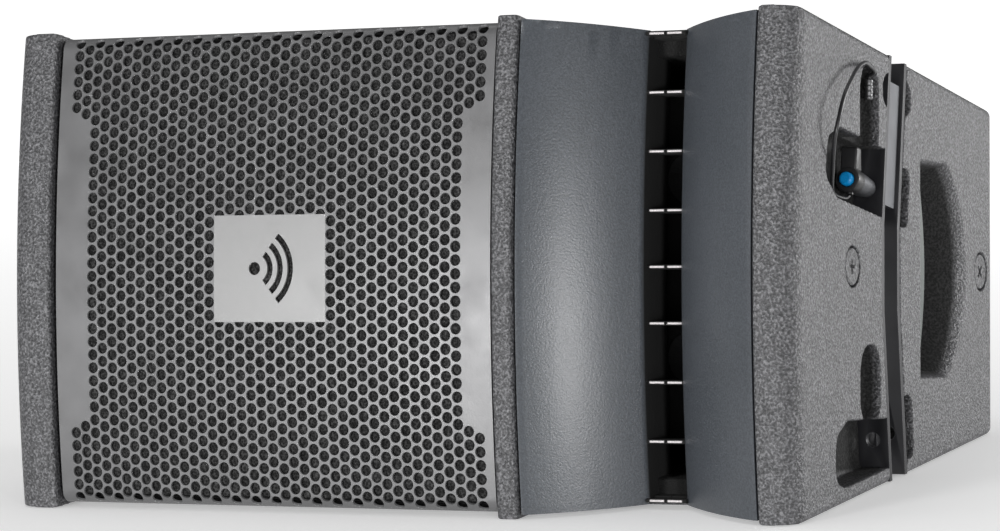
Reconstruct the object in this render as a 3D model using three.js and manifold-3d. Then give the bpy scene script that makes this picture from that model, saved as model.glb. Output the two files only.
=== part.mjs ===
// Compact two-way line-array loudspeaker: an 8-inch woofer behind a curved grille beside a vertical
// slot waveguide, in a cabinet whose top and bottom taper towards the back. Each side carries a
// rigging channel with a sliding hinge bar and a quick-release pin on a wire lanyard; the back has a
// splay arm, its pin and the input panel.
//
// Millimetres. The parts are drawn in the cabinet's own frame: X to the right seen from the front,
// Y to the back, Z up, X = 0 and Z = 0 at the middle, Y = 0 at the front top and bottom edges.
// The whole cabinet is then turned to stand on its flat bottom panel.
import * as THREE from 'three';
import { mergeVertices } from 'three/addons/utils/BufferGeometryUtils.js';
import Module from 'manifold-3d';

const wasm = await Module();
wasm.setup();

// ---------------------------------------------------------------- driving dimensions
const WIDTH = 414;
const FRONT_HEIGHT = 233;
const DEPTH = 267;
const SPLAY = THREE.MathUtils.degToRad(7.5);
const GAP = 0.3;

const LEFT_WALL = 24;
const RIGHT_WALL = 20;
const PANEL = 12;
const FRONT_EDGE_RADIUS = 12;
const REAR_EDGE_RADIUS = 8;

// The front is an arc about an axis parallel to X; the top and bottom faces are radial to it.
const ARC_Y = FRONT_HEIGHT / 2 / Math.tan(SPLAY);
const FRONT_RADIUS = FRONT_HEIGHT / 2 / Math.sin(SPLAY);
const FRONT_Y = ARC_Y - FRONT_RADIUS;
const TAPER = Math.tan(SPLAY);

const HALF = WIDTH / 2;
const INNER_LEFT = -HALF + LEFT_WALL;
const INNER_RIGHT = HALF - RIGHT_WALL;

// Front pieces are swept up the arc, so their back edge lies further back at the top and bottom,
// where the flat panels begin.
const EDGE_BACK_Y = 13.9;
const PANEL_FRONT_Y = 22;
const HORN_PANEL_Y = 46;
const BAFFLE_FRONT_Y = 20;
const BAFFLE_THICKNESS = 15;
const DIVIDER = { left: 57, right: 68 };

const GRILLE = { left: -180, right: 56.5, face: FRONT_Y + 2, sheet: 1.2, roll: 6, drop: 2.2, back: 13.5 };
const FOAM = { margin: 4, front: 1.6, thickness: 3 };
const BADGE = { x: -60.5, width: 60.4, height: 50.8 };

const HORN = {
  right: 186.4, middle: 127.75, slotHalf: 9.35, slotY: 29.5, rimY: -6.5,
  throatY: 55, wall: 3, drop: 2, finY: 33, finBackY: 58, finThickness: 2, plateY: 60.3, lid: 3.5,
  cells: [27.3, 27.3, 27.3, 26.1, 26.1, 27.3, 27.3, 27.3],
};
const DRIVER = {
  radius: 38, offset: 42, frontY: 64.5, bodyDepth: 30, capRadius: 29, capDepth: 12, throat: 12.5,
};

const WOOFER = { x: -61.5, frame: 102, opening: 96.5 };

const CHANNEL = { topY: 128, elbowZ: 20, outer: 11.8, inner: 8.8, depth: 17, web: 3 };
const PIN = { below: 64.5, depth: 8, radius: 3.175, hole: 3.45 };
const BOLT = { below: 17.5, radius: 2.5 };
const LOWER_HOLE = 20.4;
const BAR = {
  top: 12, shoulder: 61, half: 8.5, outer: 4.4, inner: 13.5, slotTop: 14.7, slotBottom: 58.8, slotInner: 11.6,
};
const BAR_PLATE = { bottom: 71, outer: 2 };

const HANDLE = { frontY: 158, half: 52, backY: 227, endY: 198, depth: 38, shell: 5 };
const PLUG = { radius: 8.75, thickness: 5, seat: 5.5, places: [67, 246] };

const REAR = { half: 18, sheet: 3, depth: 30 };
const ARM = { pivotY: 254, pivotZ: 58, length: 94, half: 11, thickness: 12 };
const REAR_PIN = { y: 250, z: -54 };
const INPUT = { x: 122, width: 104, height: 92, face: 263.5, sheet: 2.5, openWidth: 90, openHeight: 78 };
const SOCKET = { offset: 28, z: 12, radius: 12, bore: 10, depth: 26, flange: 15, flangeSheet: 2 };

// ---------------------------------------------------------------- solids and cuts
function toSolid(geometry) {
  const bare = geometry.clone();
  bare.deleteAttribute('normal');
  bare.deleteAttribute('uv');
  const merged = mergeVertices(bare, 1e-4);
  return new wasm.Manifold(new wasm.Mesh({
    numProp: 3,
    vertProperties: Float32Array.from(merged.attributes.position.array),
    triVerts: Uint32Array.from(merged.index.array),
  }));
}

function toGeometry(solid) {
  const mesh = solid.getMesh();
  const geometry = new THREE.BufferGeometry();
  geometry.setAttribute('position', new THREE.BufferAttribute(Float32Array.from(mesh.vertProperties), 3));
  geometry.setIndex(Array.from(mesh.triVerts));
  return geometry;
}

function cut(body, ...cutters) {
  return cutters.reduce((solid, cutter) => solid.subtract(toSolid(cutter)), body);
}

function join(...pieces) {
  return pieces.map(toSolid).reduce((solid, piece) => solid.add(piece));
}

// Corners are [x, y, radius]; each radius becomes an arc of the given number of chords.
function rounded(corners, chords = 4) {
  const points = [];
  corners.forEach(([x, y, radius = 0], index) => {
    const corner = new THREE.Vector2(x, y);
    if (radius === 0) {
      points.push(corner);
      return;
    }
    const before = corners[(index + corners.length - 1) % corners.length];
    const after = corners[(index + 1) % corners.length];
    const toBefore = new THREE.Vector2(before[0] - x, before[1] - y).normalize();
    const toAfter = new THREE.Vector2(after[0] - x, after[1] - y).normalize();
    const half = Math.acos(THREE.MathUtils.clamp(toBefore.dot(toAfter), -1, 1)) / 2;
    const middle = toBefore.clone().add(toAfter).normalize();
    const centre = corner.clone().addScaledVector(middle, radius / Math.sin(half));
    const start = corner.clone().addScaledVector(toBefore, radius / Math.tan(half)).sub(centre);
    const end = corner.clone().addScaledVector(toAfter, radius / Math.tan(half)).sub(centre);
    const sweep = Math.atan2(start.cross(end), start.dot(end));
    for (let step = 0; step <= chords; step += 1) {
      points.push(start.clone().rotateAround(new THREE.Vector2(), (sweep * step) / chords).add(centre));
    }
  });
  return points;
}

function circle(x, y, radius, segments) {
  const points = [];
  for (let index = 0; index < segments; index += 1) {
    const angle = (2 * Math.PI * (index + 0.5)) / segments;
    points.push(new THREE.Vector2(x + radius * Math.cos(angle), y + radius * Math.sin(angle)));
  }
  return points;
}

// An outline given in the plane across an axis, extruded along that axis from one place to another.
const ACROSS = {
  x: [new THREE.Vector3(0, 1, 0), new THREE.Vector3(0, 0, 1), new THREE.Vector3(1, 0, 0)],
  y: [new THREE.Vector3(1, 0, 0), new THREE.Vector3(0, 0, 1), new THREE.Vector3(0, -1, 0)],
};

function prism(axis, points, from, to, holes = []) {
  const shape = new THREE.Shape(points);
  shape.holes = holes.map((hole) => new THREE.Path(hole));
  const geometry = new THREE.ExtrudeGeometry(shape, { depth: to - from, bevelEnabled: false });
  const turn = new THREE.Matrix4().makeBasis(...ACROSS[axis]);
  const start = axis === 'y' ? new THREE.Vector3(0, to, 0) : new THREE.Vector3(from, 0, 0);
  return geometry.applyMatrix4(turn.setPosition(start));
}

function box(x0, x1, y0, y1, z0, z1) {
  return new THREE.BoxGeometry(x1 - x0, y1 - y0, z1 - z0)
    .translate((x0 + x1) / 2, (y0 + y1) / 2, (z0 + z1) / 2);
}

// A plan outline in X and Y swept up the front arc; points behind `flatFrom` stay on flat planes.
function sweep(points, halfAngle, { steps = 8, start = -halfAngle, flatFrom = Infinity } = {}) {
  const geometry = new THREE.ExtrudeGeometry(new THREE.Shape(points), { depth: 1, steps, bevelEnabled: false });
  const position = geometry.attributes.position;
  for (let index = 0; index < position.count; index += 1) {
    const angle = start + (halfAngle - start) * position.getZ(index);
    const radius = ARC_Y - position.getY(index);
    if (position.getY(index) > flatFrom) {
      position.setZ(index, radius * Math.tan(angle));
    } else {
      position.setY(index, ARC_Y - radius * Math.cos(angle));
      position.setZ(index, radius * Math.sin(angle));
    }
  }
  return geometry;
}

// A profile of [radius, distance] turned about the line from origin along direction.
function turned(profile, origin, direction, segments = 24) {
  const points = profile.map(([radius, along]) => new THREE.Vector2(radius, along));
  points.push(points[0].clone());
  const geometry = new THREE.LatheGeometry(points, segments);
  const turn = new THREE.Quaternion().setFromUnitVectors(new THREE.Vector3(0, 1, 0), direction);
  return geometry.applyQuaternion(turn).translate(origin.x, origin.y, origin.z);
}

// A lathe profile may run either way round; the solid comes out with its faces pointing outwards.
function turnedSolid(profile, origin, direction, segments) {
  const area = profile.reduce((sum, [r, a], i) => {
    const [nextR, nextA] = profile[(i + 1) % profile.length];
    return sum + r * nextA - nextR * a;
  }, 0);
  return turned(area > 0 ? profile : [...profile].reverse(), origin, direction, segments);
}

function rod(radius, from, to, segments = 16) {
  const direction = to.clone().sub(from);
  return turnedSolid(
    [[0, 0], [radius, 0], [radius, direction.length()], [0, direction.length()]],
    from, direction.clone().normalize(), segments,
  );
}

function mirrored(geometry) {
  const copy = geometry.clone().scale(-1, 1, 1);
  const flat = copy.index ? copy.toNonIndexed() : copy;
  const position = flat.attributes.position;
  for (let index = 0; index < position.count; index += 3) {
    for (let axis = 0; axis < 3; axis += 1) {
      const kept = position.getComponent(index + 1, axis);
      position.setComponent(index + 1, axis, position.getComponent(index + 2, axis));
      position.setComponent(index + 2, axis, kept);
    }
  }
  return flat;
}

// ---------------------------------------------------------------- materials and the scene graph
const FINISHES = {
  coating: { color: 0x55555a, roughness: 0.9, metalness: 0 },
  grille: { color: 0x5d5e61, roughness: 0.55, metalness: 0.3 },
  foam: { color: 0x17171a, roughness: 1, metalness: 0 },
  badge: { color: 0x8a8b8e, roughness: 0.45, metalness: 0.6 },
  horn: { color: 0x6b7076, roughness: 0.45, metalness: 0 },
  blackSteel: { color: 0x232427, roughness: 0.5, metalness: 0.6 },
  satinSteel: { color: 0x85888c, roughness: 0.35, metalness: 0.9 },
  brightSteel: { color: 0xc8cacc, roughness: 0.2, metalness: 1 },
  blackPlastic: { color: 0x1b1b1d, roughness: 0.5, metalness: 0 },
  bluePlastic: { color: 0x1077b5, roughness: 0.35, metalness: 0 },
  rubber: { color: 0x141415, roughness: 0.8, metalness: 0 },
  paper: { color: 0x1f1f21, roughness: 0.85, metalness: 0 },
  fabric: { color: 0xa27c46, roughness: 0.9, metalness: 0 },
  magnet: { color: 0x3a3a3c, roughness: 0.7, metalness: 0.2 },
  board: { color: 0x1c5a34, roughness: 0.5, metalness: 0 },
  copper: { color: 0xb5652e, roughness: 0.4, metalness: 0.8 },
  grip: { color: 0x6d7772, roughness: 0.5, metalness: 0 },
  wire: { color: 0x202022, roughness: 0.4, metalness: 0.1 },
};

const cabinet = new THREE.Group();

function add(name, shape, finish) {
  const geometry = shape.isBufferGeometry ? shape : toGeometry(shape);
  const mesh = new THREE.Mesh(geometry, new THREE.MeshStandardMaterial(FINISHES[finish]));
  mesh.name = name;
  cabinet.add(mesh);
}

// ---------------------------------------------------------------- the cabinet's outer wedge
const planeZ = (y, inset = 0) => (ARC_Y - y) * TAPER - inset / Math.cos(SPLAY);

function wedge(y0, y1, inset = 0, rearRadius = 0) {
  return rounded([
    [y0, -planeZ(y0, inset)],
    [y1, -planeZ(y1, inset), rearRadius],
    [y1, planeZ(y1, inset), rearRadius],
    [y0, planeZ(y0, inset)],
  ]);
}

// ---------------------------------------------------------------- the rigging channel's line
// It meets the top and bottom faces square, and runs straight up between two elbows.
const ALONG = new THREE.Vector2(Math.sin(SPLAY), Math.cos(SPLAY));
const BACK = new THREE.Vector2(Math.cos(SPLAY), -Math.sin(SPLAY));
const CHANNEL_TOP = new THREE.Vector2(CHANNEL.topY, planeZ(CHANNEL.topY));
const ELBOW_Y = CHANNEL.topY - (CHANNEL_TOP.y - CHANNEL.elbowZ) * TAPER;

// A place on the upper segment: distance below the top face, and offset backwards across it.
function onUpper(below, offset) {
  return CHANNEL_TOP.clone().addScaledVector(ALONG, -below).addScaledVector(BACK, offset);
}

function sidePoint(depth, below, offset) {
  const place = onUpper(below, offset);
  return new THREE.Vector3(HALF - depth, place.x, place.y);
}

function flipped(points) {
  return points.map((point) => new THREE.Vector2(point.x, -point.y));
}

function channelBand(front, back, endInset) {
  const edge = (offset) => {
    const mitre = offset / Math.cos(SPLAY / 2);
    const elbow = new THREE.Vector2(
      ELBOW_Y + mitre * Math.cos(SPLAY / 2),
      CHANNEL.elbowZ - mitre * Math.sin(SPLAY / 2),
    );
    const top = onUpper(endInset, offset);
    return [...flipped([top, elbow]), elbow, top];
  };
  return [...edge(front), ...edge(back).reverse()];
}

// ---------------------------------------------------------------- hollows in the side panels
// All are drawn for the right side; the left side is their mirror image.
function alongPin(forward, up) {
  return onUpper(PIN.below - up, -CHANNEL.outer - forward);
}

function upperPocket() {
  const corners = [
    [alongPin(-4, -13.6), 0], [alongPin(60, -13.6), 9], [alongPin(75, -6), 7],
    [alongPin(74, 12), 6], [alongPin(60, 18.5), 8], [alongPin(-4, 18.5), 0],
  ];
  return rounded(corners.map(([point, radius]) => [point.x, point.y, radius]));
}

function lowerPocket() {
  const frontY = 45;
  const floor = (y) => -planeZ(y, 7.5);
  const wall = ELBOW_Y + 8;
  return rounded([
    [frontY, floor(frontY) + 4, 8], [58, floor(58), 6], [wall, floor(wall)],
    [wall, -71], [60, -71, 8], [frontY + 1, -78, 8],
  ]);
}

function obround(y0, y1, z0, z1) {
  const radius = (y1 - y0) / 2 - 0.5;
  return rounded([[y0, z0, radius], [y1, z0, radius], [y1, z1, radius], [y0, z1, radius]], 5);
}

function sideCutters() {
  const face = HALF + 5;
  const behindFlange = (below, length) => {
    const corners = [
      [onUpper(below - length / 2, CHANNEL.outer - 2), 0], [onUpper(below - length / 2, CHANNEL.outer + 10), 5],
      [onUpper(below + length / 2, CHANNEL.outer + 10), 5], [onUpper(below + length / 2, CHANNEL.outer - 2), 0],
    ];
    return rounded(corners.map(([point, radius]) => [point.x, point.y, radius]));
  };
  const lowerBelow = LOWER_HOLE + 2;
  const cutters = [
    prism('x', channelBand(-CHANNEL.outer - GAP, CHANNEL.outer + GAP, -12), HALF - CHANNEL.depth - GAP, face),
    prism('x', upperPocket(), HALF - 15, face),
    prism('x', lowerPocket(), HALF - 15, face),
    prism('x', obround(77, 101, 50, 94.5), HALF - 9, face),
    prism('x', obround(77, 103, -74, -36), HALF - 9, face),
    prism('x', behindFlange(PIN.below, 28), HALF - 14, face),
    prism('x', flipped(behindFlange(lowerBelow, 30)), HALF - 14, face),
  ];
  for (const side of [-1, 1]) {
    const place = onUpper(BOLT.below, side * (CHANNEL.outer - 0.5));
    cutters.push(prism('x', circle(place.x, place.y, 8, 20), HALF - 14, face));
  }
  for (const y of PLUG.places) {
    cutters.push(prism('x', circle(y, 0, PLUG.radius + GAP, 24), HALF - PLUG.seat, face));
  }
  return cutters;
}

// The hand pocket: straight in front, bowed at the back, with a floor that ramps up to the back edge.
function handleOutline(margin) {
  const half = HANDLE.half + margin;
  const sagitta = HANDLE.backY - HANDLE.endY;
  const bow = (HANDLE.half ** 2 + sagitta ** 2) / (2 * sagitta);
  const centre = HANDLE.backY - bow;
  const reach = Math.asin(HANDLE.half / bow);
  const points = [new THREE.Vector2(HANDLE.frontY - margin, -half)];
  const chords = 10;
  for (let step = 0; step <= chords; step += 1) {
    const angle = -reach + (2 * reach * step) / chords;
    points.push(new THREE.Vector2(
      centre + (bow + margin) * Math.cos(angle),
      THREE.MathUtils.clamp((bow + margin) * Math.sin(angle), -half, half),
    ));
  }
  points.push(new THREE.Vector2(HANDLE.frontY - margin, half));
  return points;
}

function handleHollow() {
  const steps = 5;
  const geometry = new THREE.ExtrudeGeometry(
    new THREE.Shape(handleOutline(0)), { depth: 1, steps, bevelEnabled: false },
  );
  const position = geometry.attributes.position;
  for (let index = 0; index < position.count; index += 1) {
    const inward = 1 - position.getZ(index);
    const depth = inward ** 2;
    const y = HANDLE.frontY + (position.getX(index) - HANDLE.frontY) * (1 - 0.45 * inward);
    const z = position.getY(index) * (1 - 0.1 * inward);
    position.setXYZ(index, HALF + 1 - depth * (HANDLE.depth + 1), y, z);
  }
  return geometry;
}

function handleBlock(wall) {
  return prism('x', handleOutline(HANDLE.shell), HALF - HANDLE.depth - HANDLE.shell, HALF - wall + 1);
}

function gripOutline() {
  const front = HANDLE.frontY + GAP;
  const half = HANDLE.half - 6;
  const bulge = 8;
  const points = [];
  const chords = 10;
  for (let step = 0; step <= chords; step += 1) {
    const z = -half + (2 * half * step) / chords;
    points.push(new THREE.Vector2(front + 1.5 + bulge * Math.cos((Math.PI * z) / (2 * half)), z));
  }
  points.push(new THREE.Vector2(front, half), new THREE.Vector2(front, -half));
  return points;
}

// ---------------------------------------------------------------- side panels
function sidePanel(wall) {
  const plan = rounded([
    [HALF - wall, FRONT_Y, 2], [HALF, FRONT_Y, FRONT_EDGE_RADIUS],
    [HALF, DEPTH, REAR_EDGE_RADIUS], [HALF - wall, DEPTH],
  ], 5);
  const overrun = SPLAY * 1.1;
  const board = toSolid(sweep(plan, overrun, { flatFrom: DEPTH / 2 }));
  const outline = prism('x', wedge(FRONT_Y - 10, DEPTH, 0, REAR_EDGE_RADIUS), 0, HALF + 5);
  const panel = board.intersect(toSolid(outline)).add(toSolid(handleBlock(wall)));
  return toGeometry(cut(panel, handleHollow(), ...sideCutters()));
}

// ---------------------------------------------------------------- top, bottom and rear panels
function flatPanel(side) {
  const outline = [
    [PANEL_FRONT_Y, planeZ(PANEL_FRONT_Y)], [DEPTH - PANEL - GAP, planeZ(DEPTH - PANEL - GAP)],
    [DEPTH - PANEL - GAP, planeZ(DEPTH - PANEL - GAP, PANEL)], [PANEL_FRONT_Y, planeZ(PANEL_FRONT_Y, PANEL)],
  ].map(([y, z]) => new THREE.Vector2(y, side * z));
  const board = toSolid(prism('x', outline, INNER_LEFT + GAP, INNER_RIGHT - GAP));
  const notchY = DEPTH - REAR.depth - GAP;
  return toGeometry(cut(
    board,
    box(-REAR.half - GAP, REAR.half + GAP, notchY, DEPTH, -150, 150),
    box(DIVIDER.right + GAP, HALF, 0, HORN_PANEL_Y, -150, 150),
  ));
}

function rearPanel(x0, x1) {
  const outline = wedge(DEPTH - PANEL, DEPTH, 0, REAR_EDGE_RADIUS);
  return toSolid(prism('x', outline, x0, x1));
}

function roundedRect(x, z, width, height, radius) {
  return rounded([
    [x - width / 2, z - height / 2, radius], [x + width / 2, z - height / 2, radius],
    [x + width / 2, z + height / 2, radius], [x - width / 2, z + height / 2, radius],
  ]);
}

const CUP = { left: REAR.half + 1, right: 66, half: 15.5, front: 238, wall: 2 };

function rearPanelRight() {
  const body = rearPanel(REAR.half + GAP, INNER_RIGHT - GAP);
  const rebate = INPUT.face - INPUT.sheet - GAP;
  return toGeometry(cut(
    body,
    prism('y', roundedRect(INPUT.x, 0, INPUT.width + 0.6, INPUT.height + 0.6, 4), rebate, DEPTH + 5),
    prism('y', roundedRect(INPUT.x, 0, INPUT.openWidth, INPUT.openHeight, 4), DEPTH - 20, DEPTH + 5),
    box(0, CUP.right + GAP, DEPTH - 20, DEPTH + 5, REAR_PIN.z - CUP.half - GAP, REAR_PIN.z + CUP.half + GAP),
  ));
}

// ---------------------------------------------------------------- front: divider and baffle
function dividerPost() {
  const plan = rounded([
    [DIVIDER.left, FRONT_Y, 2.5], [DIVIDER.right, FRONT_Y, 2.5],
    [DIVIDER.right, EDGE_BACK_Y], [DIVIDER.left, EDGE_BACK_Y],
  ], 3);
  const inner = wedge(EDGE_BACK_Y - 4, BAFFLE_FRONT_Y - GAP, PANEL + GAP);
  return join(sweep(plan, SPLAY), prism('x', inner, DIVIDER.left, DIVIDER.right));
}

// The baffle closes the woofer's side of the cabinet; the horn closes the other side.
function frontBaffle() {
  const back = BAFFLE_FRONT_Y + BAFFLE_THICKNESS;
  const board = toSolid(prism(
    'x', wedge(BAFFLE_FRONT_Y, back, PANEL + GAP), INNER_LEFT + GAP, DIVIDER.right,
  ));
  return toGeometry(cut(board, prism('y', circle(WOOFER.x, 0, WOOFER.opening, 40), 0, back + 5)));
}

// ---------------------------------------------------------------- grille, foam and badge
// The sheet follows the front arc and rolls back over the top and bottom edges.
function grillePath(inset) {
  const radius = ARC_Y - GRILLE.face - inset;
  const halfAngle = SPLAY - GRILLE.drop / FRONT_RADIUS - inset / FRONT_RADIUS;
  const roll = GRILLE.roll - inset;
  const centreRadius = radius - roll;
  const centreAngle = halfAngle - Math.asin(roll / centreRadius);
  const polar = (r, angle) => new THREE.Vector2(ARC_Y - r * Math.cos(angle), r * Math.sin(angle));
  const points = [];
  const arcSteps = 8;
  for (let step = 0; step <= arcSteps; step += 1) {
    points.push(polar(radius, (centreAngle * step) / arcSteps));
  }
  const rollSteps = 5;
  for (let step = 1; step <= rollSteps; step += 1) {
    const turn = (Math.PI / 2) * (step / rollSteps);
    const outward = polar(roll * Math.cos(turn), centreAngle).sub(new THREE.Vector2(ARC_Y, 0));
    const upward = new THREE.Vector2(Math.sin(centreAngle), Math.cos(centreAngle));
    points.push(polar(centreRadius, centreAngle).add(outward).addScaledVector(upward, roll * Math.sin(turn)));
  }
  const endRadius = ARC_Y - GRILLE.back;
  points.push(polar(endRadius, halfAngle));
  return [...flipped(points.slice(1)).reverse(), ...points];
}

// The sheet has a window that the badge plate fills, level with it.
function grilleSheet() {
  const outline = [...grillePath(0), ...grillePath(GRILLE.sheet).reverse()];
  const sheet = prism('x', outline, GRILLE.left, GRILLE.right);
  const halfWidth = BADGE.width / 2 + GAP;
  const halfHeight = BADGE.height / 2 + GAP;
  return toGeometry(cut(
    toSolid(sheet), box(BADGE.x - halfWidth, BADGE.x + halfWidth, -20, 10, -halfHeight, halfHeight),
  ));
}

function grilleFoam() {
  const y = GRILLE.face + FOAM.front;
  const plan = rounded([
    [GRILLE.left + FOAM.margin, y], [GRILLE.right - FOAM.margin, y],
    [GRILLE.right - FOAM.margin, y + FOAM.thickness], [GRILLE.left + FOAM.margin, y + FOAM.thickness],
  ]);
  return sweep(plan, SPLAY - 9 / FRONT_RADIUS);
}

function badge() {
  const back = GRILLE.face + GRILLE.sheet;
  const plan = rounded([
    [BADGE.x - BADGE.width / 2, GRILLE.face], [BADGE.x + BADGE.width / 2, GRILLE.face],
    [BADGE.x + BADGE.width / 2, back], [BADGE.x - BADGE.width / 2, back],
  ]);
  return sweep(plan, BADGE.height / 2 / FRONT_RADIUS, { steps: 4 });
}

// ---------------------------------------------------------------- horn and compression drivers
// The cheek falls from the rim to the slot: a shallow bell, steepening towards the slot.
function cheek(offset) {
  const outer = HORN.right - HORN.middle;
  const rise = HORN.slotY - HORN.rimY;
  const points = [];
  const steps = 8;
  for (let step = 0; step <= steps; step += 1) {
    const inward = step / steps;
    const x = outer - (outer - HORN.slotHalf) * inward;
    const y = HORN.rimY + rise * (0.62 * inward + 0.38 * inward ** 2.2);
    points.push(new THREE.Vector2(x, y + offset));
  }
  return points;
}

function hornShell(side) {
  const outer = HORN.right - HORN.middle;
  const back = HORN.wall * 1.3;
  const inside = HORN.slotHalf + HORN.wall;
  const backCurve = cheek(back).filter((point) => point.x > inside + 1 && point.x < outer - HORN.wall - 1);
  const plan = [
    ...cheek(0),
    new THREE.Vector2(HORN.slotHalf, HORN.throatY),
    new THREE.Vector2(inside, HORN.throatY),
    new THREE.Vector2(inside, HORN.slotY + 2),
    ...backCurve.reverse(),
    new THREE.Vector2(outer - HORN.wall, 0),
    new THREE.Vector2(outer - HORN.wall, EDGE_BACK_Y),
    new THREE.Vector2(outer, EDGE_BACK_Y),
  ];
  const skin = (angle, points) => sweep(
    points.map((point) => new THREE.Vector2(HORN.middle + side * point.x, point.y)), angle,
  );
  const halfAngle = SPLAY - HORN.drop / FRONT_RADIUS;
  const total = HORN.cells.reduce((sum, cell) => sum + cell, 0);
  let shell = toSolid(skin(halfAngle, plan));
  let height = -total / 2;
  [0, ...HORN.cells].forEach((cell) => {
    height += cell;
    const x0 = HORN.middle + side * (GAP / 2);
    const x1 = HORN.middle + side * (HORN.slotHalf + 1);
    const z0 = height - HORN.finThickness / 2;
    const fin = box(Math.min(x0, x1), Math.max(x0, x1), HORN.finY, HORN.finBackY, z0, z0 + HORN.finThickness);
    shell = shell.add(toSolid(fin));
  });
  // A lid closes the shell at each end, from the cheek back to the top and bottom panels.
  const lidBack = ARC_Y - (ARC_Y - HORN_PANEL_Y + GAP) / Math.cos(halfAngle);
  const lid = [
    ...cheek(0), new THREE.Vector2(HORN.slotHalf, HORN.finY), new THREE.Vector2(GAP / 2, HORN.finY),
    new THREE.Vector2(GAP / 2, lidBack), new THREE.Vector2(outer, lidBack),
  ].map((point) => new THREE.Vector2(HORN.middle + side * point.x, point.y));
  const lidAngle = HORN.lid / FRONT_RADIUS;
  shell = shell.add(toSolid(sweep(lid, halfAngle, { steps: 1, start: halfAngle - lidAngle })));
  shell = shell.add(toSolid(sweep(lid, -halfAngle + lidAngle, { steps: 1, start: -halfAngle })));
  // Further back the shell passes between the top and bottom panels.
  const y0 = HORN_PANEL_Y - GAP;
  const inset = PANEL + GAP;
  for (const sign of [-1, 1]) {
    const trim = [[y0, planeZ(y0, inset)], [80, planeZ(80, inset)], [80, 140], [y0, 140]]
      .map(([y, z]) => new THREE.Vector2(y, sign * z));
    shell = shell.subtract(toSolid(prism('x', trim, 60, 200)));
  }
  return toGeometry(shell);
}

function throatPlate() {
  const y = HORN.plateY;
  const thickness = DRIVER.frontY - GAP - y;
  const plate = roundedRect(HORN.middle, 0, 60, 164, 6);
  const holes = [-1, 1].map((sign) => circle(HORN.middle, sign * DRIVER.offset, DRIVER.throat, 20));
  return prism('y', plate, y, y + thickness, holes);
}

function compressionDriver(sign) {
  const { radius, bodyDepth, capRadius, capDepth, throat } = DRIVER;
  const profile = [
    [0, 12], [throat, 0], [radius - 2, 0], [radius, 2], [radius, bodyDepth - 3], [radius - 3, bodyDepth],
    [capRadius, bodyDepth], [capRadius, bodyDepth + capDepth - 3], [capRadius - 3, bodyDepth + capDepth],
    [0, bodyDepth + capDepth],
  ];
  const origin = new THREE.Vector3(HORN.middle, DRIVER.frontY, sign * DRIVER.offset);
  return turnedSolid(profile, origin, new THREE.Vector3(0, 1, 0), 24);
}

// ---------------------------------------------------------------- woofer
const WOOFER_ORIGIN = new THREE.Vector3(WOOFER.x, 0, 0);
const WOOFER_AXIS = new THREE.Vector3(0, 1, 0);

function wooferPart(profile, segments = 28) {
  return turnedSolid(profile, WOOFER_ORIGIN, WOOFER_AXIS, segments);
}

function wooferBasket() {
  const basket = toSolid(wooferPart([
    [WOOFER.frame, 15.4], [WOOFER.frame, 19.7], [96, 19.7], [96, 24], [55, 85], [55, 88], [30, 88], [30, 85],
    [52, 85], [86.5, 26], [86.5, 21.3], [93.2, 21.3], [93.2, 15.4],
  ]));
  const windows = [];
  const count = 6;
  for (let index = 0; index < count; index += 1) {
    const window = box(56, 120, 40, 72, -17, 17);
    window.rotateY((2 * Math.PI * index) / count).translate(WOOFER.x, 0, 0);
    windows.push(window);
  }
  return toGeometry(cut(basket, ...windows));
}

function woofer() {
  add('woofer_basket', wooferBasket(), 'blackSteel');
  add('woofer_magnet', wooferPart([
    [0, 88.3], [22.5, 88.3], [22.5, 110], [29, 110], [29, 88.3], [65, 88.3], [65, 118], [0, 118],
  ]), 'magnet');
  add('woofer_cone', wooferPart([[27.2, 62], [78, 22], [79.5, 22], [79.5, 23.2], [27.2, 64.2]]), 'paper');
  add('woofer_dust_cap', wooferPart([
    [0, 48.5], [14, 50], [25, 53.4], [32.4, 57.2], [31.2, 57.8], [24, 54.6], [14, 51.4], [0, 49.9],
  ]), 'paper');
  add('woofer_surround', wooferPart([
    [79.8, 21.8], [80.2, 18.4], [82, 15.6], [84.7, 14.5], [87.4, 15.6], [89.2, 18.6], [92.8, 19.8],
    [92.8, 21], [88.2, 20.6], [86.6, 17], [84.7, 16], [82.8, 17], [81.6, 19.6], [81, 21.8],
  ]), 'rubber');
  add('woofer_spider', wooferPart([[27, 67], [59.5, 67], [59.5, 68.5], [27, 68.5]], 24), 'fabric');
  add('woofer_voice_coil', wooferPart([[24.8, 64.6], [26.6, 64.6], [26.6, 100], [24.8, 100]], 24), 'copper');
}

// ---------------------------------------------------------------- quick-release pins
// Drawn along +Y from the flange's outer face at y = 0, with the paddle up along +Z.
function releasePin({ tip, collar, head, boreFrom, paddle }) {
  const end = collar + head;
  const forward = new THREE.Vector3(0, 1, 0);
  const body = toSolid(turnedSolid([
    [0, tip], [PIN.radius - 1, tip], [PIN.radius, tip + 1.5], [PIN.radius, GAP], [4, GAP], [4.2, 3],
    [6, collar], [6, end - 1], [5.5, end], [0, end],
  ], new THREE.Vector3(), forward, 20));
  const grip = prism('x', rounded([
    [end - 8.6, 0], [end - 0.4, 0], [end - 0.8, paddle, 1.5], [end - 6.6, paddle, 1.5],
  ], 2), -4, 4);
  const eyelet = rod(1.8, new THREE.Vector3(0, end - 4, -6.6), new THREE.Vector3(0, end - 4, 0), 10);
  const bore = rod(3.6, new THREE.Vector3(0, boreFrom, 0), new THREE.Vector3(0, end + 5, 0), 16);
  return toGeometry(cut(body.add(toSolid(grip)).add(toSolid(eyelet)), bore));
}

function pinButton({ collar, head }) {
  const end = collar + head;
  return turnedSolid([
    [0, end - 4], [3.3, end - 4], [3.3, end + 2], [2.4, end + 2.8], [0, end + 3],
  ], new THREE.Vector3(), new THREE.Vector3(0, 1, 0), 16);
}

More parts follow.
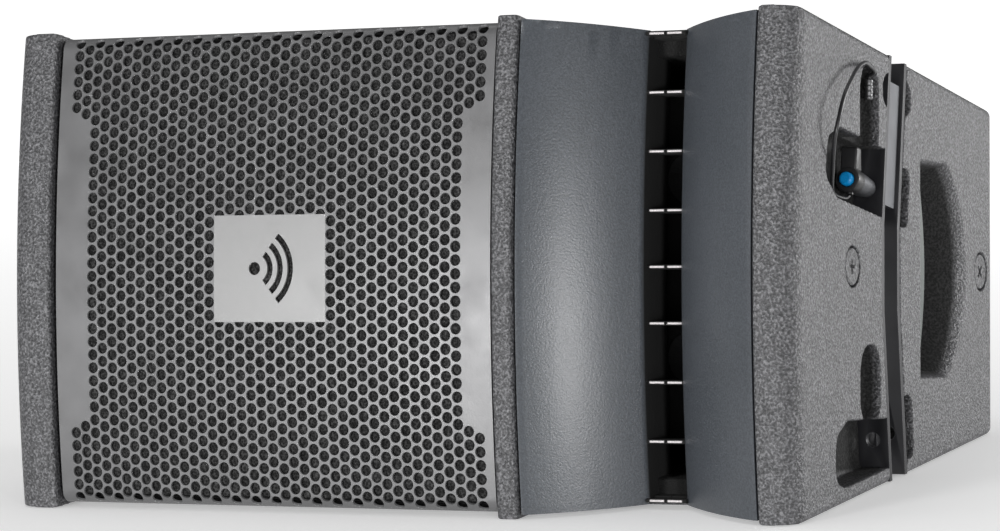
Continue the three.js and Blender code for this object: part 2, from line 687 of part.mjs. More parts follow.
const SIDE_PIN = { tip: -2 * CHANNEL.outer - 8, collar: 20, head: 8, boreFrom: 20, paddle: 15.6 };
const BACK_PIN = { tip: -2 * REAR.half - 2, collar: 8, head: 7.5, boreFrom: 8, paddle: 13 };

// Turns a pin drawn along +Y so that it points forward and up across the right channel's flanges.
function ontoSide(geometry) {
  const flange = onUpper(PIN.below, -CHANNEL.outer);
  const forward = new THREE.Vector3(0, -BACK.x, -BACK.y);
  const up = new THREE.Vector3(0, ALONG.x, ALONG.y);
  const turn = new THREE.Matrix4().makeBasis(forward.clone().cross(up), forward, up);
  turn.setPosition(HALF - PIN.depth, flange.x, flange.y);
  return geometry.clone().applyMatrix4(turn);
}

function ontoBack(geometry) {
  const forward = new THREE.Vector3(1, 0, 0);
  const up = new THREE.Vector3(0, 0, 1);
  const turn = new THREE.Matrix4().makeBasis(forward.clone().cross(up), forward, up);
  turn.setPosition(REAR.half, REAR_PIN.y, REAR_PIN.z);
  return geometry.clone().applyMatrix4(turn);
}

// ---------------------------------------------------------------- side rigging
function riggingChannel() {
  const outer = HALF - GAP;
  const inner = HALF - CHANNEL.depth;
  const endInset = 0.5;
  const section = join(
    prism('x', channelBand(-CHANNEL.outer, -CHANNEL.inner, endInset), inner, outer),
    prism('x', channelBand(CHANNEL.inner, CHANNEL.outer, endInset), inner, outer),
    prism('x', channelBand(-CHANNEL.outer, CHANNEL.outer, endInset), inner, inner + CHANNEL.web),
  );
  const reach = CHANNEL.outer + 3;
  const through = (below, radius) => rod(
    radius, sidePoint(PIN.depth, below, -reach), sidePoint(PIN.depth, below, reach), 16,
  );
  const lower = through(LOWER_HOLE, PIN.hole).scale(1, 1, -1);
  return toGeometry(cut(
    section, through(PIN.below, PIN.hole), through(BOLT.below, BOLT.radius + GAP), rewound(lower),
  ));
}

// Restores outward faces after a mirroring scale.
function rewound(geometry) {
  const flat = geometry.index ? geometry.toNonIndexed() : geometry;
  return mirrored(flat.scale(-1, 1, 1));
}

// A block on the upper segment between two distances below the top face, and two depths.
function onSegment(top, bottom, half, outer, inner) {
  const points = [onUpper(top, -half), onUpper(bottom, -half), onUpper(bottom, half), onUpper(top, half)];
  return prism('x', points, HALF - inner, HALF - outer);
}

// The bar slides up over the guide bolt; its shoulder rests just above the pin.
function hingeBar() {
  return cut(
    toSolid(onSegment(BAR.top, BAR.shoulder, BAR.half, BAR.outer, BAR.inner)),
    onSegment(BAR.slotTop, BAR.slotBottom, BAR.half + 1, BAR.outer - 1, BAR.slotInner),
  );
}

// A plate on the bar's outer side closes its slot and hangs down over the pin.
function hingePlate() {
  return onSegment(BAR.top, BAR_PLATE.bottom, BAR.half, BAR_PLATE.outer, BAR.outer - GAP);
}

function guideBolt() {
  const start = sidePoint(PIN.depth, BOLT.below, -CHANNEL.outer - GAP);
  const back = new THREE.Vector3(0, BACK.x, BACK.y);
  const length = 2 * CHANNEL.outer + GAP + 6;
  return turnedSolid([
    [0, -3.4], [2.6, -3], [4.4, -1.6], [5, 0], [BOLT.radius, 0], [BOLT.radius, length], [0, length],
  ], start, back, 18);
}

function guideNut() {
  const start = sidePoint(PIN.depth, BOLT.below, CHANNEL.outer + GAP);
  const back = new THREE.Vector3(0, BACK.x, BACK.y);
  return turnedSolid([[BOLT.radius + 0.8, 0], [4.6, 0], [4.6, 4], [BOLT.radius + 0.8, 4]], start, back, 6);
}

function plug(y, turnAngle) {
  const disc = toSolid(prism('x', circle(y, 0, PLUG.radius, 24), HALF - PLUG.thickness - GAP, HALF - GAP));
  const blades = [0, 1].map((index) => {
    const blade = new THREE.BoxGeometry(3, 1.6, 7);
    blade.rotateX(turnAngle + (index * Math.PI) / 2);
    return blade.translate(HALF - 0.5, y, 0);
  });
  return toGeometry(cut(disc, ...blades));
}

// The lanyard leaves a crimped ferrule at the top of the recess, bows over the side face and ends
// under the pin's head.
const FERRULE = { depth: 3, y: 95.5, bottom: 78.5, top: 88, radius: 2 };
const LANYARD = { radius: 1, sides: 8, steps: 44 };
const LANYARD_ROUTE = [
  [204, 95.5, 88.5], [204.5, 95.5, 89.6], [207.3, 93.8, 91.2], [209.6, 81.2, 93.6], [211.2, 71.5, 94.1],
  [212.6, 60.1, 91.6], [213.5, 50.2, 86.5], [213.95, 38.3, 77.3], [213.5, 33, 67.9], [211.9, 31.8, 58.7],
  [209.7, 35.4, 51.2], [206.8, 41.8, 43.8], [203.6, 48.9, 37.2], [200.8, 57, 34.2], [199.2, 65, 32.8],
  [199, 73, 32], [199, 79, 32], [199, 82.2, 33],
];

function lanyard() {
  const sign = new THREE.CatmullRomCurve3(LANYARD_ROUTE.map((point) => new THREE.Vector3(...point)));
  const section = new THREE.Shape(circle(0, 0, LANYARD.radius, LANYARD.sides));
  return new THREE.ExtrudeGeometry(section, { extrudePath: sign, steps: LANYARD.steps, bevelEnabled: false });
}

function sideRigging() {
  const pieces = {
    rigging_channel: [riggingChannel(), 'blackSteel'],
    hinge_bar: [toGeometry(hingeBar()), 'satinSteel'],
    hinge_plate: [hingePlate(), 'satinSteel'],
    guide_bolt: [guideBolt(), 'brightSteel'],
    guide_nut: [guideNut(), 'brightSteel'],
    lock_pin: [ontoSide(releasePin(SIDE_PIN)), 'satinSteel'],
    lock_button: [ontoSide(pinButton(SIDE_PIN)), 'bluePlastic'],
    lanyard_ferrule: [rod(
      FERRULE.radius, new THREE.Vector3(HALF - FERRULE.depth, FERRULE.y, FERRULE.bottom),
      new THREE.Vector3(HALF - FERRULE.depth, FERRULE.y, FERRULE.top), 12,
    ), 'brightSteel'],
    lanyard: [lanyard(), 'wire'],
    plug_front: [plug(PLUG.places[0], 0), 'coating'],
    plug_rear: [plug(PLUG.places[1], Math.PI / 4), 'coating'],
    handle_grip: [prism('x', gripOutline(), HALF - 24, HALF - 1.5), 'grip'],
  };
  for (const [name, [geometry, finish]] of Object.entries(pieces)) {
    add(`${name}_right`, geometry, finish);
    add(`${name}_left`, mirrored(geometry), finish);
  }
}

// ---------------------------------------------------------------- rear rigging
function rearChannel() {
  const y0 = DEPTH - REAR.depth;
  const endInset = 0.5;
  const side = (x0, x1, from) => prism('x', wedge(from, DEPTH - 0.5, endInset), x0, x1);
  const web = prism('x', wedge(y0, y0 + REAR.sheet, endInset), -REAR.half, REAR.half);
  const body = join(
    side(-REAR.half, -REAR.half + REAR.sheet, y0), side(REAR.half - REAR.sheet, REAR.half, y0), web,
  );
  const across = (radius, y, z) => rod(
    radius, new THREE.Vector3(-REAR.half - 2, y, z), new THREE.Vector3(REAR.half + 2, y, z), 16,
  );
  return toGeometry(cut(
    body, across(4.3, ARM.pivotY, ARM.pivotZ), across(PIN.hole, REAR_PIN.y, REAR_PIN.z),
  ));
}

function splayArm() {
  const { pivotY, pivotZ, half, length, thickness } = ARM;
  const outline = rounded([
    [pivotY - half, pivotZ - length - half, half - 0.5], [pivotY + half, pivotZ - length - half, half - 0.5],
    [pivotY + half, pivotZ + half, half - 0.5], [pivotY - half, pivotZ + half, half - 0.5],
  ], 5);
  const holes = [circle(pivotY, pivotZ, 4.3, 16)];
  const pitch = 14;
  for (let index = 0; index < 5; index += 1) {
    holes.push(circle(pivotY, pivotZ - length + index * pitch, PIN.hole, 12));
  }
  return prism('x', outline, -thickness / 2, thickness / 2, holes);
}

function splayPivot() {
  const start = new THREE.Vector3(-REAR.half + GAP, ARM.pivotY, ARM.pivotZ);
  return rod(4, start, start.clone().setX(REAR.half - GAP), 18);
}

function rearPinCup() {
  const { left, right, half, front, wall } = CUP;
  const z0 = REAR_PIN.z - half;
  const z1 = REAR_PIN.z + half;
  const block = toSolid(box(left, right, front, DEPTH - 0.5, z0, z1));
  return toGeometry(cut(block, box(left - 5, right - wall, front + wall, DEPTH + 5, z0 + wall, z1 - wall)));
}

// ---------------------------------------------------------------- input panel and crossover
const SWITCH = { z: -24, travel: 4, width: 5, slot: 10.2, height: 5.2 };

function inputPlate() {
  const holes = [-1, 1].map((sign) => circle(
    INPUT.x + sign * SOCKET.offset, SOCKET.z, SOCKET.radius + GAP, 24,
  ));
  holes.push(roundedRect(INPUT.x + SWITCH.travel / 2, SWITCH.z, SWITCH.slot, SWITCH.height + 0.8, 1));
  const outline = roundedRect(INPUT.x, 0, INPUT.width, INPUT.height, 4);
  return prism('y', outline, INPUT.face - INPUT.sheet, INPUT.face, holes);
}

const SOCKET_SEGMENTS = 16;

function socket(sign) {
  const x = INPUT.x + sign * SOCKET.offset;
  const front = INPUT.face + GAP + SOCKET.flangeSheet;
  const barrel = toSolid(rod(
    SOCKET.radius, new THREE.Vector3(x, front - SOCKET.depth, SOCKET.z),
    new THREE.Vector3(x, front, SOCKET.z), SOCKET_SEGMENTS,
  ));
  const flange = toSolid(prism(
    'y', roundedRect(x, SOCKET.z, 2 * SOCKET.flange, 2 * SOCKET.flange, 3), INPUT.face + GAP, front,
  ));
  const bore = turnedSolid(
    [[4.5, -SOCKET.depth + 4], [SOCKET.bore, -SOCKET.depth + 4], [SOCKET.bore, 5], [4.5, 5]],
    new THREE.Vector3(x, front, SOCKET.z), new THREE.Vector3(0, 1, 0), SOCKET_SEGMENTS,
  );
  return toGeometry(cut(barrel.add(flange), bore));
}

function modeSwitch() {
  const x = INPUT.x;
  const half = SWITCH.width / 2;
  return box(x - half, x + half, INPUT.face - 6, INPUT.face + 2.5, SWITCH.z - half, SWITCH.z + half);
}

const BOARD = { x: 40, y: 190, width: 110, depth: 70, sheet: 1.6, lift: 4 };

// Places a piece drawn on z = 0 onto the bottom panel's sloping inner face.
function onFloor(geometry, height) {
  const innerZ = -planeZ(BOARD.y, PANEL);
  return geometry.translate(0, 0, height).rotateX(SPLAY).translate(BOARD.x, BOARD.y, innerZ);
}

function crossover() {
  const { width, depth, sheet, lift } = BOARD;
  const plate = box(-width / 2, width / 2, -depth / 2, depth / 2, 0, sheet);
  const posts = [];
  for (const x of [-1, 1]) {
    for (const y of [-1, 1]) {
      const centre = new THREE.Vector3(x * (width / 2 - 6), y * (depth / 2 - 6), -lift + GAP);
      posts.push(rod(3, centre, centre.clone().setZ(0.5), 10));
    }
  }
  const up = new THREE.Vector3(0, 0, 1);
  const coil = turnedSolid(
    [[8, 0], [19, 0], [20, 1], [20, 19], [19, 20], [8, 20]], new THREE.Vector3(-28, 0, 0), up, 24,
  );
  const can = rod(9, new THREE.Vector3(6, 10, 9), new THREE.Vector3(44, 10, 9), 20);
  add('crossover_board', toGeometry(toSolid(onFloor(toGeometry(join(plate, ...posts)), lift))), 'board');
  add('crossover_inductor', onFloor(coil, lift + sheet + GAP), 'copper');
  add('crossover_capacitor', onFloor(can, lift + sheet + GAP), 'fabric');
}

// ---------------------------------------------------------------- the assembly
add('side_panel_right', sidePanel(RIGHT_WALL), 'coating');
add('side_panel_left', mirrored(sidePanel(LEFT_WALL)), 'coating');
add('top_panel', flatPanel(1), 'coating');
add('bottom_panel', flatPanel(-1), 'coating');
add('rear_panel_left', toGeometry(rearPanel(INNER_LEFT + GAP, -REAR.half - GAP)), 'coating');
add('rear_panel_right', rearPanelRight(), 'coating');
add('divider_post', dividerPost(), 'coating');
add('front_baffle', frontBaffle(), 'coating');
add('grille', grilleSheet(), 'grille');
add('grille_foam', grilleFoam(), 'foam');
add('grille_badge', badge(), 'badge');
add('horn_shell_left', hornShell(-1), 'horn');
add('horn_shell_right', hornShell(1), 'horn');
add('horn_throat_plate', throatPlate(), 'blackPlastic');
add('driver_upper', compressionDriver(1), 'magnet');
add('driver_lower', compressionDriver(-1), 'magnet');
woofer();
crossover();
sideRigging();
add('input_plate', inputPlate(), 'blackSteel');
add('socket_left', socket(-1), 'blackPlastic');
add('socket_right', socket(1), 'blackPlastic');
add('mode_switch', modeSwitch(), 'blackPlastic');
add('rear_channel', rearChannel(), 'blackSteel');
add('splay_arm', splayArm(), 'satinSteel');
add('splay_pivot', splayPivot(), 'brightSteel');
add('rear_pin', ontoBack(releasePin(BACK_PIN)), 'satinSteel');
add('rear_pin_button', ontoBack(pinButton(BACK_PIN)), 'bluePlastic');
add('rear_pin_cup', rearPinCup(), 'blackPlastic');

// Stand the cabinet on its bottom panel, with the middle of its footprint at the origin.
cabinet.rotation.x = -SPLAY;
cabinet.updateMatrixWorld(true);
const bounds = new THREE.Box3().setFromObject(cabinet, true);
cabinet.position.set(0, -(bounds.min.y + bounds.max.y) / 2, -bounds.min.z);

const group = new THREE.Group();
group.add(cabinet);

export default group;
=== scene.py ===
"""The looks of a compact two-way line-array loudspeaker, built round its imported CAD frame.

The pieces are drawn in the cabinet's own frame, in millimetres (X to the right seen from the front,
Y to the back, Z up, Z = 0 at mid-height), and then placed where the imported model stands, in metres.
"""

import contextlib
import math

import bmesh
import bpy
import numpy as np
from mathutils import Matrix, Vector, noise


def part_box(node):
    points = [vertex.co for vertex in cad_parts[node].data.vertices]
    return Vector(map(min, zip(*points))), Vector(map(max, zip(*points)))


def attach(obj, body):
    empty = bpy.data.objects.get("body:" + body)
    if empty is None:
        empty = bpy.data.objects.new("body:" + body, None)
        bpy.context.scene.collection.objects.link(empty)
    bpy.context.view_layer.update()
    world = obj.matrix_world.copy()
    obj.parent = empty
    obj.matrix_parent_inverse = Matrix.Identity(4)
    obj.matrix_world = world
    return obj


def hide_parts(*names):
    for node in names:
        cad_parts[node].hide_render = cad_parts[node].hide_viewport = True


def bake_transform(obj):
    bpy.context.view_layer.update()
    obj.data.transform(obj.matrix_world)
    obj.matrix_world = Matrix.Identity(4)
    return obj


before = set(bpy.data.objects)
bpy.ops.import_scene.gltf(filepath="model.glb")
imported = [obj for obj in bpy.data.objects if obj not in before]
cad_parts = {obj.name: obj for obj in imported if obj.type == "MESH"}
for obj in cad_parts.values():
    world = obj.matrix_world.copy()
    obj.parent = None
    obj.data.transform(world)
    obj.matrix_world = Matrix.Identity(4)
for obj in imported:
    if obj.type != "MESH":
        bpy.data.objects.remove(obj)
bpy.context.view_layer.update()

# ---------------------------------------------------------------- sizes, as in the CAD
MM = 0.001
HORN_MIDDLE = 127.75
HALF, FRONT_HEIGHT, DEPTH = 207, 233, 267
SPLAY = math.radians(7.5)
COS, SIN, TAPER = math.cos(SPLAY), math.sin(SPLAY), math.tan(SPLAY)
GAP = 0.3
ARC_Y = FRONT_HEIGHT / 2 / TAPER
FRONT_RADIUS = FRONT_HEIGHT / 2 / SIN
FRONT_Y = ARC_Y - FRONT_RADIUS
LEFT_WALL, RIGHT_WALL, PANEL = 24, 20, 12
EDGE_BACK_Y = 13.9

CHANNEL_TOP_Y, CHANNEL_ELBOW_Z, CHANNEL_OUTER, CHANNEL_DEPTH = 128, 20, 11.8, 17
PIN_BELOW, PIN_DEPTH, PIN_RADIUS = 64.5, 8, 3.175
PIN_TIP, PIN_COLLAR, PIN_HEAD, PADDLE_TOP = -2 * CHANNEL_OUTER - 8, 20, 8, 15.6
REAR_PIN_PLACE, REAR_TIP, REAR_COLLAR, REAR_HEAD, REAR_PADDLE_TOP = (18, 250, -54), -38, 8, 7.5, 13
BOLT_BELOW, LOWER_HOLE = 17.5, 20.4

# The cabinet stands on its bottom panel, turned about X by the splay.
plug_low, plug_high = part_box("plug_front_right")
PLUG_CENTRE = (plug_low + plug_high) / 2
PLUG_FRONT_Y, PLUG_REAR_Y = 67, 246
TO_WORLD = (
    Matrix.Translation((0, PLUG_CENTRE.y - PLUG_FRONT_Y * COS * MM, PLUG_CENTRE.z + PLUG_FRONT_Y * SIN * MM))
    @ Matrix.Rotation(-SPLAY, 4, "X")
    @ Matrix.Scale(MM, 4)
)
TURN = Matrix.Rotation(-SPLAY, 3, "X")

# ---------------------------------------------------------------- camera
CAMERA_PLACE = (830.2, -1564.1, -27.4)
CAMERA_TURN, CAMERA_TILT, CAMERA_LENS = math.radians(26.25), math.radians(0.92), 136.04


def camera():
    turn, tilt = CAMERA_TURN, CAMERA_TILT
    ahead = Vector((-math.sin(turn) * math.cos(tilt), math.cos(turn) * math.cos(tilt), math.sin(tilt)))
    right = Vector((math.cos(turn), math.sin(turn), 0))
    up = right.cross(ahead)
    axes = Matrix((TURN @ right, TURN @ up, TURN @ -ahead)).transposed()
    data = bpy.data.cameras.new("camera")
    data.lens = CAMERA_LENS
    data.clip_end = 100
    made = bpy.data.objects.new("camera", data)
    made.matrix_world = Matrix.Translation(TO_WORLD @ Vector(CAMERA_PLACE)) @ axes.to_4x4()
    bpy.context.scene.collection.objects.link(made)
    bpy.context.scene.camera = made


camera()


# ---------------------------------------------------------------- materials
class Recipe:
    """Builds one node material; every texture is read in object coordinates, in metres."""

    def __init__(self, name):
        self.material = bpy.data.materials.new(name)
        self.material.use_nodes = True
        self.tree = self.material.node_tree
        self.shader = self.tree.nodes["Principled BSDF"]
        self.place = self.add("ShaderNodeTexCoord").outputs["Object"]

    def add(self, kind, inputs=None, **settings):
        """A node with its settings; inputs are sockets to link or values to set, by name or number."""
        node = self.tree.nodes.new(kind)
        for key, value in settings.items():
            setattr(node, key, value)
        for key, value in (inputs or {}).items():
            if hasattr(value, "is_linked"):
                self.link(value, node.inputs[key])
            else:
                node.inputs[key].default_value = value
        return node

    def link(self, source, target):
        self.tree.links.new(source, target)

    def set(self, **values):
        for key, value in values.items():
            self.shader.inputs[key.replace("_", " ")].default_value = value

    def noise(self, scale, detail=2.0, stretch=None, roughness=0.5):
        place = self.place
        if stretch:
            place = self.add("ShaderNodeMapping", {"Vector": place, "Scale": stretch}).outputs["Vector"]
        inputs = {"Vector": place, "Scale": scale, "Detail": detail, "Roughness": roughness}
        return self.add("ShaderNodeTexNoise", inputs).outputs["Fac"]

    def cells(self, scale, feature="F1"):
        inputs = {"Vector": self.place, "Scale": scale}
        return self.add("ShaderNodeTexVoronoi", inputs, feature=feature).outputs["Distance"]

    def ramp(self, source, *stops):
        node = self.add("ShaderNodeValToRGB")
        elements = node.color_ramp.elements
        while len(elements) < len(stops):
            elements.new(0.5)
        for element, (position, colour) in zip(elements, stops):
            element.position = position
            element.color = (*colour, 1) if hasattr(colour, "__len__") else (colour, colour, colour, 1)
        self.link(source, node.inputs["Fac"])
        return node.outputs["Color"]

    def blend(self, kind, first, second, factor=1.0):
        first, second = ((*value, 1) if isinstance(value, tuple) else value for value in (first, second))
        node = self.add("ShaderNodeMix", {0: factor, 6: first, 7: second}, data_type="RGBA", blend_type=kind)
        return node.outputs[2]

    def math(self, operation, *values):
        return self.add("ShaderNodeMath", dict(enumerate(values)), operation=operation).outputs[0]

    def product(self, first, *others):
        for other in others:
            first = self.math("MULTIPLY", first, other)
        return first

    def cabinet_axes(self):
        """X, Y and Z in the cabinet's own frame, in metres, for the masks that follow its shape."""
        inputs = {
            "Vector": self.place, "Location": TO_WORLD.inverted().translation * MM, "Rotation": (SPLAY, 0, 0),
        }
        turned = self.add("ShaderNodeMapping", inputs)
        return tuple(self.add("ShaderNodeSeparateXYZ", {"Vector": turned.outputs["Vector"]}).outputs)

    def arc_depth(self):
        """How far a place is behind the front arc, in metres, towards the arc's axis."""
        _, y, z = self.cabinet_axes()
        place = self.add("ShaderNodeCombineXYZ", {"X": self.math("SUBTRACT", ARC_Y * MM, y), "Y": z})
        length = self.add("ShaderNodeVectorMath", {0: place.outputs["Vector"]}, operation="LENGTH")
        return self.math("SUBTRACT", ARC_Y * MM, length.outputs["Value"])

    def span(self, source, low, high, to_low, to_high):
        inputs = {"Value": source, "From Min": low, "From Max": high, "To Min": to_low, "To Max": to_high}
        return self.add("ShaderNodeMapRange", inputs).outputs["Result"]

    def above(self, source, low, high):
        """0 up to low and 1 from high on, both in millimetres."""
        return self.span(source, low * MM, high * MM, 0, 1)

    def below(self, source, low, high):
        return self.span(source, low * MM, high * MM, 1, 0)

    def edges(self, radius=0.0008):
        """Bright on convex edges, for worn paint: the bevelled normal against the true one."""
        bevel = self.add("ShaderNodeBevel", {"Radius": radius}, samples=4).outputs["Normal"]
        true = self.add("ShaderNodeNewGeometry").outputs["Normal"]
        dot = self.add("ShaderNodeVectorMath", {0: bevel, 1: true}, operation="DOT_PRODUCT")
        return self.span(dot.outputs["Value"], 0.75, 0.995, 1.0, 0.0)

    def bump(self, *layers):
        """Layers are (height, strength, distance in metres), one over the other."""
        normal = None
        for height, strength, distance in layers:
            inputs = {"Height": height, "Strength": strength, "Distance": distance}
            if normal:
                inputs["Normal"] = normal
            normal = self.add("ShaderNodeBump", inputs).outputs["Normal"]
        self.link(normal, self.shader.inputs["Normal"])

    def colour(self, source):
        self.link(source, self.shader.inputs["Base Color"])

    def roughness(self, source):
        self.link(source, self.shader.inputs["Roughness"])


# Near black, painted as shade inside the horn's slot, behind the fins' noses and inside the cabinet.
SHADE_BLACK = (0.003, 0.003, 0.003)
# The limits of the coating's painted shade in the side's recesses and on the panels' inner faces, each over a
# soft edge, in millimetres.
POCKET_SHADE_X, POCKET_SHADE_Z = (202.0, 205.5), (94, 100)
POCKET_SHADE_FRONT, POCKET_SHADE_BACK = (40, 46), (231, 237)
INSIDE_SHADE = (113.0, 114.5)
# Where painted shade turns the horn's slot black, and the pale noses of its fins.
SLOT_SHADE = (28.5, 30.0)
NOSE_Y, NOSE_IN, NOSE_OUT = (33.14, 33.24), (0.7, 1.1), (7.8, 8.3)


def coating(name="coating", shade_pockets=False, shade_inside=False):
    """Thick textured paint: a coarse glossy stipple, with painted shade in the side's recesses and on the
    panels' inner faces.
    """
    r = Recipe(name)
    stipple, grain, patches = r.noise(820, 2.5), r.noise(2600, 2), r.noise(14, 3)
    tone = r.ramp(
        stipple, (0.34, (0.026, 0.026, 0.028)), (0.5, (0.066, 0.066, 0.070)), (0.68, (0.175, 0.175, 0.184)),
    )
    tone = r.blend("MULTIPLY", tone, r.ramp(patches, (0.3, 0.9), (0.7, 1.0)))
    sheen = r.span(stipple, 0.3, 0.7, 0.5, 0.3)
    if shade_pockets or shade_inside:
        x, y, z = r.cabinet_axes()
        x, z = r.math("ABSOLUTE", x), r.math("ABSOLUTE", z)
        if shade_pockets:
            # Painted shade: near black inside the side's recesses, with the roughness raised.
            under = r.ramp(stipple, (0.4, 0.006), (0.7, 0.03))
            shade_mask = r.product(
                r.below(x, *POCKET_SHADE_X), r.above(y, *POCKET_SHADE_FRONT), r.below(y, *POCKET_SHADE_BACK),
                r.below(z, *POCKET_SHADE_Z),
            )
        else:
            # Painted shade: black on the panels wherever they lie more than about 3.5 mm inside the outer
            # face.
            under = SHADE_BLACK
            shade_mask = r.below(r.math("MULTIPLY_ADD", y, TAPER, z), *INSIDE_SHADE)
        tone = r.blend("MIX", tone, under, shade_mask)
        sheen = r.math("MAXIMUM", sheen, r.span(shade_mask, 0, 1, 0, 0.95))
    r.colour(tone)
    r.roughness(sheen)
    r.bump((stipple, 0.85, 0.0011), (grain, 0.35, 0.0003))
    r.set(Specular_IOR_Level=0.5)
    return r.material


def painted_steel(name, dark, light, wear=0.25, rough=0.42):
    r = Recipe(name)
    cloud, fine = r.noise(60, 4), r.noise(2600, 2)
    base = r.ramp(cloud, (0.3, dark), (0.7, light))
    if wear:
        base = r.blend("MIX", base, (0.34, 0.34, 0.35), r.span(r.edges(), 0, 1, 0, wear))
    r.colour(base)
    r.roughness(r.span(cloud, 0.3, 0.7, rough, rough + 0.14))
    r.bump((fine, 0.18, 0.0002))
    r.set(Metallic=0.25)
    return r.material


def steel(name, tone, rough, brush=None, metal=1.0):
    r = Recipe(name)
    cloud = r.noise(90, 3)
    brushed = r.noise(1500, 3, stretch=brush or (1, 1, 1))
    base = r.ramp(cloud, (0.3, tuple(0.82 * t for t in tone)), (0.7, tone))
    r.colour(r.blend("MULTIPLY", base, r.ramp(brushed, (0.3, 0.82), (0.7, 1.0)), 0.8))
    r.roughness(r.span(brushed, 0.3, 0.7, rough, rough + 0.12))
    r.bump((brushed, 0.12, 0.0002))
    r.set(Metallic=metal)
    return r.material


def plastic(name, dark, light, rough=0.45, grain=2200, depth=0.0002, strength=0.2):
    r = Recipe(name)
    cloud, fine = r.noise(45, 3), r.noise(grain, 2)
    base = r.ramp(cloud, (0.3, dark), (0.7, light))
    r.colour(r.blend("MULTIPLY", base, r.ramp(fine, (0.3, 0.88), (0.7, 1.0)), 0.7))
    r.roughness(r.span(fine, 0.3, 0.7, rough - 0.06, rough + 0.08))
    r.bump((fine, strength, depth))
    return r.material


def horn_plastic():
    """Satin moulding with a fine even grain that breaks the highlights up; painted shade makes it black
    inside the slot.
    """
    r = Recipe("horn")
    fine, cloud = r.noise(1150, 2, roughness=0.6), r.noise(20, 2)
    base = r.ramp(cloud, (0.3, (0.047, 0.053, 0.061)), (0.7, (0.056, 0.062, 0.071)))
    base = r.blend("MULTIPLY", base, r.ramp(fine, (0.36, 0.7), (0.64, 1.25)), 0.8)
    # Painted shade: black deeper than the slot's mouth, and rough.
    deep = r.above(r.arc_depth(), *SLOT_SHADE)
    r.colour(r.blend("MIX", base, SHADE_BLACK, deep))
    r.roughness(r.span(deep, 0, 1, 0.33, 0.95))
    r.bump((fine, 0.3, 0.0003))
    return r.material


def fin_plastic():
    """The fins: a pale front edge, with painted shade black behind it."""
    r = Recipe("horn_edge")
    fine = r.noise(1400, 3)
    edge = r.ramp(fine, (0.3, (0.42, 0.40, 0.405)), (0.7, (0.62, 0.585, 0.59)))
    x, y, _ = r.cabinet_axes()
    aside = r.math("ABSOLUTE", r.math("SUBTRACT", x, HORN_MIDDLE * MM))
    nose = r.product(r.below(y, *NOSE_Y), r.above(aside, *NOSE_IN), r.below(aside, *NOSE_OUT))
    # Painted shade: black everywhere but the noses.
    r.colour(r.blend("MIX", SHADE_BLACK, edge, nose))
    r.roughness(r.span(nose, 0, 1, 0.95, 0.4))
    r.bump((fine, 0.15, 0.0002))
    return r.material


def foam():
    """Open-cell foam: dark pits and paler struts."""
    r = Recipe("foam")
    pits, cloud = r.cells(900), r.noise(160, 3)
    tone = r.ramp(pits, (0.0, 0.008), (0.45, 0.02), (0.9, 0.06))
    r.colour(r.blend("MULTIPLY", tone, r.ramp(cloud, (0.3, 0.6), (0.7, 1.3))))
    r.bump((pits, 0.8, 0.0008))
    r.set(Roughness=1.0, Specular_IOR_Level=0.1)
    return r.material


def paper(name, dark, light, weave=0):
    r = Recipe(name)
    fibres, cloud = r.noise(1400, 4, stretch=(1, 0.4, 1)), r.noise(70, 3)
    base = r.ramp(cloud, (0.3, dark), (0.7, light))
    r.colour(r.blend("MULTIPLY", base, r.ramp(fibres, (0.3, 0.7), (0.7, 1.1))))
    layers = [(fibres, 0.4, 0.0004)]
    if weave:
        layers.append((r.cells(weave), 0.7, 0.0006))
    r.bump(*layers)
    r.set(Roughness=0.85)
    return r.material


def board():
    r = Recipe("board")
    tracks = r.cells(160, "DISTANCE_TO_EDGE")
    r.colour(r.ramp(tracks, (0.02, (0.05, 0.21, 0.1)), (0.09, (0.012, 0.075, 0.03))))
    r.bump((tracks, 0.3, 0.0003))
    r.set(Roughness=0.35)
    return r.material


def winding():
    r = Recipe("copper")
    lines = r.add("ShaderNodeTexWave", {"Vector": r.place, "Scale": 260}, bands_direction="Z").outputs["Fac"]
    r.colour(r.ramp(lines, (0.1, (0.16, 0.05, 0.015)), (0.6, (0.62, 0.25, 0.09))))
    r.bump((lines, 0.6, 0.0006))
    r.set(Metallic=0.8, Roughness=0.35)
    return r.material


